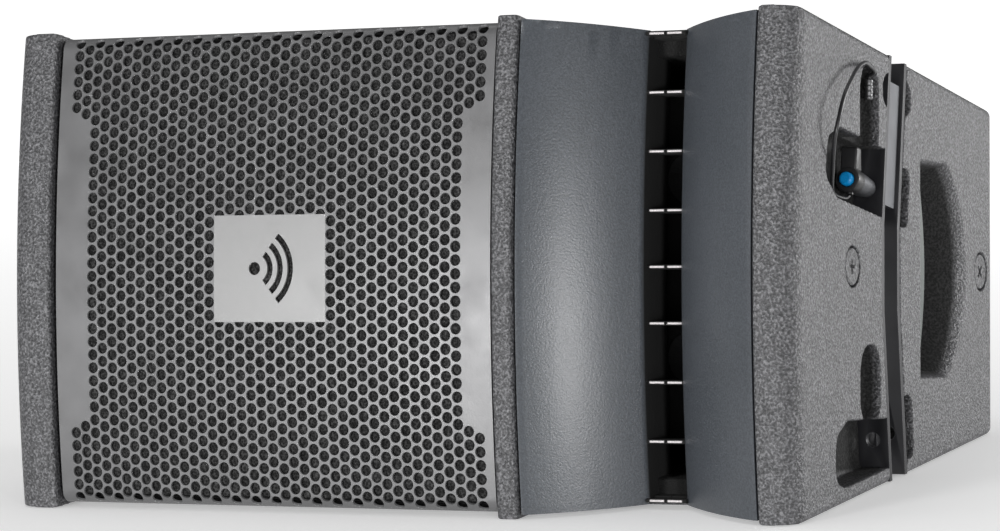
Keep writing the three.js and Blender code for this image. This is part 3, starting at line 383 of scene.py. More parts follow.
MATERIALS = {
    "coating": coating(),
    "pocket_shade_coating": coating("pocket_shade_coating", shade_pockets=True),
    "inside_shade_coating": coating("inside_shade_coating", shade_inside=True),
    "grille": painted_steel("grille", (0.115, 0.115, 0.117), (0.13, 0.13, 0.133), wear=0, rough=0.28),
    "foam": foam(),
    "badge": painted_steel("badge", (0.20, 0.20, 0.20), (0.225, 0.225, 0.225), wear=0, rough=0.32),
    "horn": horn_plastic(),
    "black_steel": painted_steel("black_steel", (0.012, 0.012, 0.014), (0.022, 0.022, 0.025), wear=0.35),
    "satin_steel": steel("satin_steel", (0.105, 0.108, 0.116), 0.42, brush=(1, 0.12, 0.03), metal=0.75),
    "ferrule_steel": steel("ferrule_steel", (0.22, 0.22, 0.225), 0.42),
    "bright_steel": steel("bright_steel", (0.72, 0.72, 0.73), 0.16),
    "black_plastic": plastic("black_plastic", (0.011, 0.011, 0.012), (0.02, 0.02, 0.021)),
    "blue_plastic": plastic("blue_plastic", (0.0, 0.22, 0.56), (0.01, 0.30, 0.68), rough=0.22, strength=0.08),
    "rubber": plastic("rubber", (0.009, 0.009, 0.009), (0.017, 0.017, 0.017), rough=0.72, grain=1500),
    "paper": paper("paper", (0.014, 0.014, 0.015), (0.03, 0.03, 0.032)),
    "spider_cloth": paper("spider_cloth", (0.25, 0.13, 0.04), (0.36, 0.2, 0.07), weave=1100),
    "ferrite": plastic(
        "ferrite", (0.02, 0.02, 0.021), (0.045, 0.045, 0.047), rough=0.62, grain=900, strength=0.35,
    ),
    "board": board(),
    "copper": winding(),
    "grip": plastic("grip", (0.07, 0.086, 0.08), (0.088, 0.103, 0.095), rough=0.5, grain=1400),
    "wire": plastic("wire", (0.012, 0.012, 0.013), (0.022, 0.022, 0.024), rough=0.3, grain=3000),
    "horn_edge": fin_plastic(),
    # Near black as painted shade, for the horn's throat plate deep in the slot.
    "slot_shade_black": plastic("slot_shade_black", (0.003, 0.003, 0.003), (0.005, 0.005, 0.005), rough=0.9),
}


# ---------------------------------------------------------------- outlines
def rounded(corners, chords=8):
    """Corners are (x, y) or (x, y, radius); a radius becomes an arc of chords."""
    points = []
    count = len(corners)
    for index, corner in enumerate(corners):
        radius = corner[2] if len(corner) > 2 else 0
        at = Vector(corner[:2])
        if not radius:
            points.append(at)
            continue
        before = (Vector(corners[index - 1][:2]) - at).normalized()
        after = (Vector(corners[(index + 1) % count][:2]) - at).normalized()
        half = before.angle(after) / 2
        centre = at + (before + after).normalized() * radius / math.sin(half)
        start = at + before * radius / math.tan(half) - centre
        end = at + after * radius / math.tan(half) - centre
        turn = math.atan2(start.cross(end), start.dot(end))
        for step in range(chords + 1):
            points.append(Matrix.Rotation(turn * step / chords, 2) @ start + centre)
    return points


def circle(x, y, radius, count=48):
    turns = [2 * math.pi * (index + 0.5) / count for index in range(count)]
    return [Vector((x + radius * math.cos(turn), y + radius * math.sin(turn))) for turn in turns]


def obround(y0, y1, z0, z1):
    radius = (y1 - y0) / 2 - 0.5
    return rounded([(y0, z0, radius), (y1, z0, radius), (y1, z1, radius), (y0, z1, radius)])


def flipped(points):
    return [Vector((point.x, -point.y)) for point in points]


def plane_z(y, inset=0.0):
    return (ARC_Y - y) * TAPER - inset / COS


def wedge(y0, y1, inset=0.0, radius=0.0):
    y1 -= inset
    return rounded([
        (y0, -plane_z(y0, inset)), (y1, -plane_z(y1, inset), radius),
        (y1, plane_z(y1, inset), radius), (y0, plane_z(y0, inset)),
    ])


EASE_STEPS = 6


def eased_wedge(ease=3.0, corner=10, clear=0.2):
    """The wedge that a side panel is cut to, its outer edges turned over an arc."""
    rings = [[(0, y, z) for y, z in wedge(FRONT_Y - 10, DEPTH, clear, corner)]]
    for step in range(EASE_STEPS + 1):
        angle = math.pi / 2 * step / EASE_STEPS
        inset = clear + ease * (1 - math.cos(angle))
        x = HALF - ease + ease * math.sin(angle)
        rings.append([(x, y, z) for y, z in wedge(FRONT_Y - 10, DEPTH, inset, max(corner - inset, 1))])
    return loft(rings)


# ---------------------------------------------------------------- meshes
@contextlib.contextmanager
def editing(mesh):
    """A mesh opened for editing, written back at the end."""
    work = bmesh.new()
    work.from_mesh(mesh)
    yield work
    work.to_mesh(mesh)
    work.free()


def mesh_of(verts, faces):
    """A closed mesh with its faces pointing out and doubled points joined."""
    mesh = bpy.data.meshes.new("mesh")
    mesh.from_pydata([tuple(v) for v in verts], [], faces)
    with editing(mesh) as work:
        bmesh.ops.remove_doubles(work, verts=work.verts, dist=1e-4)
        bmesh.ops.recalc_face_normals(work, faces=work.faces)
    return mesh


def loft(rings, closed=False):
    """Rings of the same number of points, joined in order and capped, or closed on themselves."""
    count = len(rings[0])
    verts = [point for ring in rings for point in ring]
    faces = []
    for step in range(len(rings) - (0 if closed else 1)):
        a, b = step * count, (step + 1) % len(rings) * count
        faces += [(a + i, a + (i + 1) % count, b + (i + 1) % count, b + i) for i in range(count)]
    if not closed:
        faces += [tuple(range(count)), tuple(range(len(verts) - count, len(verts)))]
    return mesh_of(verts, faces)


def prism(axis, outline, low, high):
    place = {"x": lambda p, at: (at, p[0], p[1]), "y": lambda p, at: (p[0], at, p[1])}[axis]
    return loft([[place(point, at) for point in outline] for at in (low, high)])


def box(x0, x1, y0, y1, z0, z1):
    return prism("x", [(y0, z0), (y1, z0), (y1, z1), (y0, z1)], x0, x1)


def sweep(plan, half_angle, steps=8, start=None, flat_from=math.inf):
    """A plan outline swept up the front arc; points behind flat_from stay on flat planes."""
    start = -half_angle if start is None else start
    rings = []
    for step in range(steps + 1):
        angle = start + (half_angle - start) * step / steps
        ring = []
        for x, y in plan:
            radius = ARC_Y - y
            if y > flat_from:
                ring.append((x, y, radius * math.tan(angle)))
            else:
                ring.append((x, ARC_Y - radius * math.cos(angle), radius * math.sin(angle)))
        rings.append(ring)
    return loft(rings)


def lathe(profile, origin=(0, 0, 0), direction=(0, 1, 0), count=48):
    """A profile of (radius, distance) turned about the line from origin along direction."""
    turn = Vector((0, 0, 1)).rotation_difference(Vector(direction)).to_matrix()
    rings = []
    for index in range(count):
        angle = 2 * math.pi * (index + 0.5) / count
        aside = Vector((math.cos(angle), math.sin(angle), 0))
        rings.append([Vector(origin) + turn @ (aside * r + Vector((0, 0, a))) for r, a in profile])
    mesh = loft(rings, closed=True)
    with editing(mesh) as work:  # drops what collapsed where the profile touches the axis
        bmesh.ops.dissolve_degenerate(work, dist=1e-4, edges=work.edges)
        bmesh.ops.recalc_face_normals(work, faces=work.faces)
    return mesh


def joined(*meshes):
    """Several closed meshes as one mesh."""
    work = bmesh.new()
    for mesh in meshes:
        work.from_mesh(mesh)
    mesh = bpy.data.meshes.new("joined")
    work.to_mesh(mesh)
    work.free()
    return mesh


def moved(mesh, matrix):
    mesh.transform(matrix)
    if matrix.determinant() < 0:
        mesh.flip_normals()
    return mesh


def mirror(mesh):
    return moved(mesh.copy(), Matrix.Scale(-1, 4, (1, 0, 0)))


def linked(mesh, name="work"):
    made = bpy.data.objects.new(name, mesh)
    bpy.context.scene.collection.objects.link(made)
    return made


def settled(obj):
    """The mesh of an object with its modifiers applied; the object goes."""
    bpy.context.view_layer.update()
    mesh = bpy.data.meshes.new_from_object(obj.evaluated_get(bpy.context.evaluated_depsgraph_get()))
    bpy.data.objects.remove(obj)
    return mesh


def combine(mesh, others, operation="DIFFERENCE"):
    work = linked(mesh)
    helpers = [linked(other, "helper") for other in others]
    for helper in helpers:
        modifier = work.modifiers.new("combine", "BOOLEAN")
        modifier.operation, modifier.solver, modifier.object = operation, "EXACT", helper
    made = settled(work)
    for helper in helpers:
        bpy.data.objects.remove(helper)
    return made


def modified(mesh, *modifiers):
    """Applies modifiers given as (type, {setting: value})."""
    work = linked(mesh)
    for kind, settings in modifiers:
        modifier = work.modifiers.new(kind.lower(), kind)
        for key, value in settings.items():
            setattr(modifier, key, value)
    return settled(work)


def softened(mesh, voxel=0.8, rounds=6, keep=0.35):
    """Rebuilds a mesh finely with every edge eased, as under thick paint."""
    return modified(
        mesh,
        ("REMESH", {"mode": "VOXEL", "voxel_size": voxel}),
        ("SMOOTH", {"factor": 0.5, "iterations": rounds}),
        ("DECIMATE", {"decimate_type": "COLLAPSE", "ratio": keep}),
    )


def bevelled(mesh, width=0.4, segments=2, angle=32):
    with editing(mesh) as work:
        bmesh.ops.remove_doubles(work, verts=work.verts, dist=1e-3)
        bmesh.ops.dissolve_limit(work, angle_limit=math.radians(0.6), verts=work.verts, edges=work.edges)
    return modified(mesh, ("BEVEL", {
        "width": width, "segments": segments, "limit_method": "ANGLE", "angle_limit": math.radians(angle),
        "miter_outer": "MITER_ARC", "use_clamp_overlap": True,
    }))


def eased(node, width, segments=3):
    """A copy of a CAD node's mesh, in the cabinet's own frame and in millimetres, with its edges bevelled."""
    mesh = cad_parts[node].data.copy()
    mesh.transform(TO_WORLD.inverted())
    mesh.materials.clear()
    with editing(mesh) as work:
        bmesh.ops.remove_doubles(work, verts=work.verts, dist=1e-3)
    return bevelled(mesh, width, segments)


def piece(name, mesh, slot, node=None, body="cabinet", sharp=38, finish=None):
    """Places a finished mesh where the model stands, gives it its material, hangs it on its body and hides
    the given CAD node.
    """
    mesh.name = name
    mesh.transform(TO_WORLD)
    mesh.shade_smooth()
    mesh.set_sharp_from_angle(angle=math.radians(sharp))
    mesh.materials.clear()
    mesh.materials.append(MATERIALS[finish or slot])
    made = linked(mesh, name)
    if body:
        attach(made, body)
    if node:
        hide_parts(node)
    return made


# ---------------------------------------------------------------- the rigging channel's line
CHANNEL_TOP_Z = plane_z(CHANNEL_TOP_Y)
ELBOW_Y = CHANNEL_TOP_Y - (CHANNEL_TOP_Z - CHANNEL_ELBOW_Z) * TAPER


def on_upper(below, offset=0.0):
    """A place in Y and Z, so far below the top face and so far back across the channel."""
    return Vector((
        CHANNEL_TOP_Y - below * SIN + offset * COS,
        CHANNEL_TOP_Z - below * COS - offset * SIN,
    ))


def channel_band(front, back, end_inset):
    def edge(offset):
        mitre = offset / math.cos(SPLAY / 2)
        elbow = Vector((
            ELBOW_Y + mitre * math.cos(SPLAY / 2), CHANNEL_ELBOW_Z - mitre * math.sin(SPLAY / 2),
        ))
        top = on_upper(end_inset, offset)
        return [*flipped([top, elbow]), elbow, top]
    return [*edge(front), *reversed(edge(back))]


def with_radii(pairs):
    return rounded([(point.x, point.y, radius) for point, radius in pairs])


# ---------------------------------------------------------------- side panels
HANDLE_FRONT_Y, HANDLE_END_Y, HANDLE_BACK_Y = 158, 198, 227
HANDLE_HALF, HANDLE_DEPTH, HANDLE_SHELL = 52, 38, 5


def upper_pocket():
    def along_pin(forward, up):
        return on_upper(PIN_BELOW - up, -CHANNEL_OUTER - forward)
    return with_radii([
        (along_pin(-4, -13.6), 0), (along_pin(60, -13.6), 9), (along_pin(75, -6), 7),
        (along_pin(74, 12), 6), (along_pin(60, 18.5), 8), (along_pin(-4, 18.5), 0),
    ])


def lower_pocket():
    front = 45
    wall = ELBOW_Y + 8
    def floor(y):
        return -plane_z(y, 7.5)
    return rounded([
        (front, floor(front) + 4, 8), (58, floor(58), 6), (wall, floor(wall)),
        (wall, -71), (60, -71, 8), (front + 1, -78, 8),
    ])


def behind_flange(below, length):
    near, far = CHANNEL_OUTER - 2, CHANNEL_OUTER + 10
    return with_radii([
        (on_upper(below - length / 2, near), 0), (on_upper(below - length / 2, far), 5),
        (on_upper(below + length / 2, far), 5), (on_upper(below + length / 2, near), 0),
    ])


def handle_outline(margin, chords=28):
    half = HANDLE_HALF + margin
    sagitta = HANDLE_BACK_Y - HANDLE_END_Y
    bow = (HANDLE_HALF**2 + sagitta**2) / (2 * sagitta)
    centre = HANDLE_BACK_Y - bow
    reach = math.asin(HANDLE_HALF / bow)
    front = HANDLE_FRONT_Y - margin
    points = [(front, -half)]
    for step in range(chords + 1):
        angle = -reach + 2 * reach * step / chords
        z = max(-half, min(half, (bow + margin) * math.sin(angle)))
        points.append((centre + (bow + margin) * math.cos(angle), z))
    return [*points, (front, half)]


def handle_hollow():
    """Straight in front, bowed at the back, with a floor that ramps up softly to the back edge."""
    rings = []
    steps = 14
    for step in range(steps + 1):
        inward = (step / steps) ** 2
        flare = 0.07 * (1 - step / steps) ** 5
        across, up = 1 - 0.45 * math.sqrt(inward) + 0.5 * flare, 1 - 0.1 * math.sqrt(inward) + flare
        rings.append([
            (HALF + 1 - inward * (HANDLE_DEPTH + 1), HANDLE_FRONT_Y + (y - HANDLE_FRONT_Y) * across, z * up)
            for y, z in handle_outline(0)
        ])
    return loft(rings)


OVERSHOOT, POCKET_DEPTH, RELIEF_DEPTH, RECESS_DEPTH = 5, 15, 14, 9
PLUG_SEAT, PLUG_SEAT_DEPTH, NUT_RELIEF = 9.5, 5.5, 8
UPPER_RECESS, LOWER_RECESS = (77, 101, 50, 94.5), (77, 103, -74, -36)
UPPER_RELIEF, LOWER_RELIEF = (PIN_BELOW, 28), (LOWER_HOLE + 2, 30)


def side_cutters():
    face = HALF + OVERSHOOT
    channel = channel_band(-CHANNEL_OUTER - GAP, CHANNEL_OUTER + GAP, -12)
    cuts = [
        (channel, CHANNEL_DEPTH + GAP), (upper_pocket(), POCKET_DEPTH), (lower_pocket(), POCKET_DEPTH),
        (obround(*UPPER_RECESS), RECESS_DEPTH), (obround(*LOWER_RECESS), RECESS_DEPTH),
        (behind_flange(*UPPER_RELIEF), RELIEF_DEPTH), (flipped(behind_flange(*LOWER_RELIEF)), RELIEF_DEPTH),
    ]
    for side in (-1, 1):
        place = on_upper(BOLT_BELOW, side * (CHANNEL_OUTER - 0.5))
        cuts.append((circle(*place, NUT_RELIEF), RELIEF_DEPTH))
    cuts += [(circle(y, 0, PLUG_SEAT), PLUG_SEAT_DEPTH) for y in (PLUG_FRONT_Y, PLUG_REAR_Y)]
    return [prism("x", outline, HALF - depth, face) for outline, depth in cuts]


def side_panel(wall):
    plan = rounded([
        (HALF - wall, FRONT_Y, 2), (HALF, FRONT_Y, 12), (HALF, DEPTH, 8), (HALF - wall, DEPTH),
    ], 14)
    body = sweep(plan, SPLAY * 1.1, steps=32, flat_from=DEPTH / 2)
    body = combine(body, [eased_wedge()], "INTERSECT")
    block = prism("x", handle_outline(HANDLE_SHELL), HALF - HANDLE_DEPTH - HANDLE_SHELL, HALF - wall + 1)
    body = combine(body, [block], "UNION")
    body = combine(body, [handle_hollow(), *side_cutters()])
    return softened(body, voxel=0.75, rounds=5)


# ---------------------------------------------------------------- grille
GRILLE_LEFT, GRILLE_RIGHT, GRILLE_FACE, GRILLE_SHEET = -180, 56.5, FRONT_Y + 2, 1.2
GRILLE_ROLL, GRILLE_DROP = 6, 2.2
PITCH_X, PITCH_S = 5.499, 6.35
FIRST_COLUMN, LAST_COLUMN = -8, 32
PLATE_COLUMNS, PLATE_X, PLATE_HALF = (7, 17), -60.5, 4 * PITCH_S
HOLE, HOLE_RIM, RIM_DEPTH = 2.63, 2.73, 0.16
# Half rows of the pattern: the last odd and even ones, where the plain corners start, and the plate's edge.
LAST_ODD, LAST_EVEN, CORNER_ROW, PLATE_ROW = 34, 35, 24, 8
GRILLE_TAIL = (1.1, 2.2, 3.4, 6, 10, 16.4)
MARK_X, MARK_DOT, MARK_LINE, MARK_ARCS, MARK_REACH = PLATE_X - 8, 3.1, 1.5, (8.5, 14, 19.5), math.radians(52)
FOAM_DEPTH, FOAM_BACK, FOAM_HALF, FOAM_MARGIN, FOAM_ROUGH = 1.85, 4.55, 109.5, 4, 0.22


def sheet_place(s, depth):
    """Y and Z at arc length s up the grille's line, so deep below its outer face."""
    side = 1 if s >= 0 else -1
    s = abs(s)
    radius = ARC_Y - GRILLE_FACE
    half_angle = SPLAY - GRILLE_DROP / FRONT_RADIUS
    turn_radius = radius - GRILLE_ROLL
    turn_angle = half_angle - math.asin(GRILLE_ROLL / turn_radius)
    start = radius * turn_angle
    if s <= start:
        angle = s / radius
        return ARC_Y - (radius - depth) * math.cos(angle), side * (radius - depth) * math.sin(angle)
    centre = Vector((ARC_Y - turn_radius * math.cos(turn_angle), turn_radius * math.sin(turn_angle)))
    ahead = Vector((-math.cos(turn_angle), math.sin(turn_angle)))
    up = Vector((math.sin(turn_angle), math.cos(turn_angle)))
    turn = min((s - start) / GRILLE_ROLL, math.pi / 2)
    place = centre + (ahead * math.cos(turn) + up * math.sin(turn)) * (GRILLE_ROLL - depth)
    beyond = s - start - GRILLE_ROLL * math.pi / 2
    if beyond > 0:
        place -= ahead * beyond
    return place.x, side * place.y


class Sheet:
    """A sheet drawn flat in X and arc length, with a front face, a back face and closed edges."""

    def __init__(self):
        self.verts, self.index, self.front, self.back = [], {}, [], []

    def point(self, x, s, depth):
        key = (round(x, 5), round(s, 5), round(depth, 5))
        if key not in self.index:
            self.index[key] = len(self.verts)
            y, z = sheet_place(s, depth)
            self.verts.append((x, y, z))
        return self.index[key]

    def face(self, loop, depths=None):
        depths = depths or [0] * len(loop)
        self.front.append([(x, s, depth) for (x, s), depth in zip(loop, depths)])

    def plain(self, loop):
        self.face(loop)
        self.back.append(loop)

    def zipped(self, outer, inner, depth_inner, add):
        """Triangles between two loops of points given in the same turning order."""
        i = j = 0
        count_outer, count_inner = len(outer) - 1, len(inner) - 1
        while i < count_outer or j < count_inner:
            if j == count_inner or (i < count_outer and (i + 1) / count_outer <= (j + 1) / count_inner):
                add((outer[i], outer[i + 1], inner[j]), (0, 0, depth_inner))
                i += 1
            else:
                add((outer[i], inner[j + 1], inner[j]), (0, depth_inner, depth_inner))
                j += 1

    def ring(self, outer, inner_at, rim_at=None):
        """Joins an outer loop to a hole; inner_at and rim_at give the hole's edge and its eased rim."""
        self.zipped(outer, rim_at or inner_at, 0, self.face)
        if rim_at:
            for a, b, c, d in zip(rim_at, rim_at[1:], inner_at[1:], inner_at):
                self.face((a, b, c, d), (0, 0, RIM_DEPTH, RIM_DEPTH))
        self.zipped(outer, inner_at, 0, lambda loop, depths: self.back.append(loop))

    def build(self):
        faces, edges = [], {}
        for loop in self.front:
            faces.append([self.point(*corner) for corner in loop])
            for k, corner in enumerate(loop):
                following = loop[(k + 1) % len(loop)]
                a, b = (tuple(round(v, 5) for v in c) for c in (corner, following))
                edges[(a, b)] = edges.get((a, b), 0) + 1
        for loop in self.back:
            faces.append([self.point(x, s, GRILLE_SHEET) for x, s in reversed(loop)])
        for a, b in edges:
            if (b, a) not in edges:
                back_a, back_b = self.point(a[0], a[1], GRILLE_SHEET), self.point(b[0], b[1], GRILLE_SHEET)
                faces.append([self.point(*b), self.point(*a), back_a, back_b])
        return mesh_of(self.verts, faces)


def hole_loop(x, s, radius, start, count, total=20):
    turns = [start + 2 * math.pi * k / total for k in range(count + 1)]
    return [(x + radius * math.cos(turn), s + radius * math.sin(turn)) for turn in turns]


# A cell's outline anticlockwise from its right side, in half pitches.
CELL = (
    (1, 0), (1, 0.5), (1, 1), (0, 1), (-1, 1), (-1, 0.5), (-1, 0), (-1, -0.5), (-1, -1), (0, -1), (1, -1),
    (1, -0.5), (1, 0),
)


def cell(sheet, x, s, hole):
    outer = [(x + across * PITCH_X / 2, s + up * PITCH_S / 2) for across, up in CELL]
    if hole == "full":
        sheet.ring(outer, hole_loop(x, s, HOLE, 0, 20), hole_loop(x, s, HOLE_RIM, 0, 20))
    elif hole == "none":
        for a, b in zip(outer, outer[1:]):
            sheet.plain((a, b, (x, s)))
    elif hole == "upper":
        sheet.ring(outer[:7], hole_loop(x, s, HOLE, 0, 10))
    else:
        sheet.ring(outer[6:], hole_loop(x, s, HOLE, math.pi, 10))


def grille():
    sheet = Sheet()
    h = PITCH_S / 2
    top = (LAST_EVEN + 1) * h
    tail = [top + step for step in GRILLE_TAIL]
    corners = (FIRST_COLUMN, FIRST_COLUMN + 1, LAST_COLUMN - 1, LAST_COLUMN)
    for column in range(FIRST_COLUMN, LAST_COLUMN + 1):
        x = PLATE_X + (column - sum(PLATE_COLUMNS) / 2) * PITCH_X
        odd = column % 2 != 0
        behind_plate = PLATE_COLUMNS[0] <= column <= PLATE_COLUMNS[1]
        last = LAST_ODD if odd else LAST_EVEN
        for m in range(-last, last + 1, 2):
            hole = "none" if column in corners and abs(m) < CORNER_ROW else "full"
            if behind_plate and abs(m) < PLATE_ROW:
                continue
            if behind_plate and abs(m) == PLATE_ROW:
                hole = "upper" if m > 0 else "lower"
            cell(sheet, x, m * h, hole)
        ends = [*([top - h, top - h / 2] if odd else []), top, *tail]
        xs = [x - PITCH_X / 2, x, x + PITCH_X / 2]
        for side in (-1, 1):
            for low, high in zip(ends, ends[1:]):
                for x0, x1 in zip(xs, xs[1:]):
                    loop = ((x0, side * low), (x1, side * low), (x1, side * high), (x0, side * high))
                    sheet.plain(loop if side > 0 else loop[::-1])
    # Plain margins at the left and right ends.
    stations = [-t for t in reversed(tail)] + [k * h / 2 for k in range(-72, 73)] + tail
    first, last = (PLATE_X + (column - 12) * PITCH_X for column in (FIRST_COLUMN - 0.5, LAST_COLUMN + 0.5))
    for x0, x1 in ((GRILLE_LEFT, first), (last, GRILLE_RIGHT)):
        for low, high in zip(stations, stations[1:]):
            sheet.plain(((x0, low), (x1, low), (x1, high), (x0, high)))
    return sheet.build()


def badge_plate():
    """The plain plate in the grille's middle, pierced with a generic dot and arcs."""
    x0, x1 = PLATE_X - 5.5 * PITCH_X, PLATE_X + 5.5 * PITCH_X
    steps = 16
    rings = []
    for step in range(steps + 1):
        s = -PLATE_HALF + 2 * PLATE_HALF * step / steps
        front, back = sheet_place(s, 0), sheet_place(s, GRILLE_SHEET)
        rings.append([(x0, *front), (x1, *front), (x1, *back), (x0, *back)])
    cutters = [prism("y", circle(MARK_X, 0, MARK_DOT), -20, 20)]
    turns = [MARK_REACH * (k - 10) / 10 for k in range(21)]
    for radius in MARK_ARCS:
        outline = [(radius + MARK_LINE, turn) for turn in turns]
        outline += [(radius - MARK_LINE, turn) for turn in reversed(turns)]
        outline = [Vector((MARK_X + rim * math.cos(turn), rim * math.sin(turn))) for rim, turn in outline]
        cutters.append(prism("y", outline, -20, 20))
    return combine(loft(rings), cutters)


def grille_foam():
    """A foam sheet behind the holes, its face uneven from its open cells."""
    columns = rows = 150
    low, high = GRILLE_LEFT + FOAM_MARGIN, GRILLE_RIGHT - FOAM_MARGIN
    xs = [low + (high - low) * column / columns for column in range(columns + 1)]
    rings = []
    for row in range(rows + 1):
        s = FOAM_HALF * (2 * row / rows - 1)
        uneven = [FOAM_DEPTH + FOAM_ROUGH * noise.noise(Vector((x, s, 3)) * 0.9) for x in xs]
        face = [(x, *sheet_place(s, depth)) for x, depth in zip(xs, uneven)]
        rings.append(face + [(x, *sheet_place(s, FOAM_BACK)) for x in reversed(xs)])
    return loft(rings)


# ---------------------------------------------------------------- horn
HORN_RIGHT, SLOT_HALF, SLOT_Y, RIM_Y, THROAT_Y, HORN_WALL = 186.4, 9.35, 29.5, -6.5, 55, 3
FIN_Y, FIN_BACK_Y, END_FIN_BACK_Y, FIN_THICKNESS, HORN_LID, HORN_PANEL_Y = 33, 58, 50, 2, 3.5, 46
CELLS = (27.3, 27.3, 27.3, 26.1, 26.1, 27.3, 27.3, 27.3)
HORN_HALF_ANGLE = SPLAY - 2 / FRONT_RADIUS


def cheek(offset=0.0, steps=26):
    outer = HORN_RIGHT - HORN_MIDDLE
    points = []
    for step in range(steps + 1):
        inward = step / steps
        y = RIM_Y + (SLOT_Y - RIM_Y) * (0.62 * inward + 0.38 * inward**2.2)
        points.append((outer - (outer - SLOT_HALF) * inward, y + offset))
    return points


def horn_shell(side):
    outer = HORN_RIGHT - HORN_MIDDLE
    inside = SLOT_HALF + HORN_WALL
    back = [p for p in cheek(HORN_WALL * 1.3) if inside + 1 < p[0] < outer - HORN_WALL - 1]
    rim = cheek()
    lip = [(outer, RIM_Y + 1.4), (outer - 0.25, RIM_Y + 0.45)]
    plan = [
        *lip, *rim[1:-1], (SLOT_HALF + 0.3, SLOT_Y - 0.3), (SLOT_HALF, SLOT_Y + 0.6),
        (SLOT_HALF, THROAT_Y), (inside, THROAT_Y), (inside, SLOT_Y + 2), *reversed(back),
        (outer - HORN_WALL, 0), (outer - HORN_WALL, EDGE_BACK_Y), (outer, EDGE_BACK_Y),
    ]
    def placed(points):
        return [(HORN_MIDDLE + side * x, y) for x, y in points]
    half = HORN_HALF_ANGLE
    shell = sweep(placed(plan), half, steps=40)
    lid_back = ARC_Y - (ARC_Y - HORN_PANEL_Y + GAP) / math.cos(half)
    lid = placed([
        *lip, *rim[1:], (SLOT_HALF, FIN_Y), (GAP / 2, FIN_Y), (GAP / 2, lid_back), (outer, lid_back),
    ])
    lid_angle = HORN_LID / FRONT_RADIUS
    lids = [sweep(lid, half, 1, half - lid_angle), sweep(lid, lid_angle - half, 1, -half)]
    shell = combine(shell, lids, "UNION")
    trims = []
    y0, y1, inset = HORN_PANEL_Y - GAP, THROAT_Y + 25, PANEL + GAP
    for sign in (-1, 1):
        corners = [(y0, plane_z(y0, inset)), (y1, plane_z(y1, inset)), (y1, 140), (y0, 140)]
        trims.append(prism("x", [(y, sign * z) for y, z in corners], 60, 200))
    shell = combine(shell, trims)
    return bevelled(shell, width=0.7, segments=3, angle=50)


def horn_fins(side):
    """The fins across the slot, their front edges eased."""
    fins = []
    height = -sum(CELLS) / 2
    t = FIN_THICKNESS / 2
    ends = sorted((HORN_MIDDLE + side * GAP / 2, HORN_MIDDLE + side * (SLOT_HALF + 0.6)))
    for gap in (0, *CELLS):
        height += gap
        back = FIN_BACK_Y if abs(height) < 100 else END_FIN_BACK_Y
        edge = [
            (FIN_Y + 0.9, -t), (FIN_Y + 0.25, -0.62 * t), (FIN_Y, 0), (FIN_Y + 0.25, 0.62 * t),
            (FIN_Y + 0.9, t), (back, t), (back, -t),
        ]
        fins.append(prism("x", [(y, height + z) for y, z in edge], *ends))
    return joined(*fins)


# ---------------------------------------------------------------- side rigging
def side_place(depth, below, offset):
    place = on_upper(below, offset)
    return Vector((HALF - depth, place.x, place.y))


BACKWARD = Vector((0, COS, -SIN))
ALONG = Vector((0, SIN, COS))


def pin_frame(place, forward, up):
    """Turns a pin drawn along +Y so that it points forward from its place, its top to up."""
    turn = Matrix((forward.cross(up), forward, up)).transposed().to_4x4()
    return Matrix.Translation(place) @ turn


ON_SIDE = pin_frame(side_place(PIN_DEPTH, PIN_BELOW, -CHANNEL_OUTER), -BACKWARD, ALONG)
ON_BACK = pin_frame(REAR_PIN_PLACE, Vector((1, 0, 0)), Vector((0, 0, 1)))


def release_pin(tip, collar):
    """A pin drawn along +Y from its flange at y = 0, with its tapered satin collar."""
    return lathe([
        (0, tip), (PIN_RADIUS - 1.2, tip), (PIN_RADIUS - 0.5, tip + 0.5), (PIN_RADIUS, tip + 1.6),
        (PIN_RADIUS, GAP), (3.7, GAP), (4, GAP + 0.3), (4.15, 1.8), (4.6, 2.4), (5.4, 0.55 * collar),
        (5.7, 0.75 * collar), (5.7, collar - 0.2), (5.5, collar), (0, collar),
    ], direction=(0, 1, 0))


def pin_head(collar, head, paddle_top):
    """The pin's black head with its thumb paddle and the lanyard's eyelet, drawn as the pin is."""
    end = collar + head
    ring = lathe([
        (3.6, collar - 0.1), (5.8, collar - 0.1), (6, collar + 0.2), (6, end - 1), (5.8, end - 0.3),
        (5.2, end), (3.75, end), (3.6, end - 0.3),
    ], direction=(0, 1, 0))
    paddle = prism("x", rounded([
        (end - 8.4, 4.4), (end - 0.4, 4.4), (end - 0.8, paddle_top, 1.6), (end - 6.6, paddle_top, 1.6),
    ], 6), -4, 4)
    eyelet = lathe([(0, 0), (1.8, 0), (1.8, 2.4), (1.2, 3.4), (0, 3.4)], (0, end - 4, -6.6), (0, 0, 1), 24)
    return joined(ring, bevelled(paddle, 1.0, 3), eyelet)


def pin_button(collar, head):
    end = collar + head
    return lathe([
        (0, end - 4), (3.2, end - 4), (3.3, end - 3.8), (3.3, end + 1.7), (3.1, end + 2.3), (2.4, end + 2.8),
        (1.4, end + 2.9), (0, end + 2.6),
    ], direction=(0, 1, 0), count=40)


def guide_bolt():
    start = side_place(PIN_DEPTH, BOLT_BELOW, -CHANNEL_OUTER - GAP)
    length = 2 * CHANNEL_OUTER + GAP + 6
    return lathe([
        (0, -1.6), (1.3, -1.6), (1.5, -3.35), (2.6, -3.1), (3.8, -2.4), (4.6, -1.4), (5, -0.3), (5, 0),
        (2.5, 0), (2.5, length - 0.5), (2.1, length), (0, length),
    ], start, BACKWARD)


def channel_screw(y, z):
    """A low socket-head screw that holds the channel's web to the panel."""
    return lathe([
        (0, 0.2), (3.4, 0.2), (3.4, 0.9), (2.9, 1.5), (1.7, 1.6), (1.6, 0.7), (0, 0.6),
    ], (HALF - CHANNEL_DEPTH, y, z), (1, 0, 0), 32)


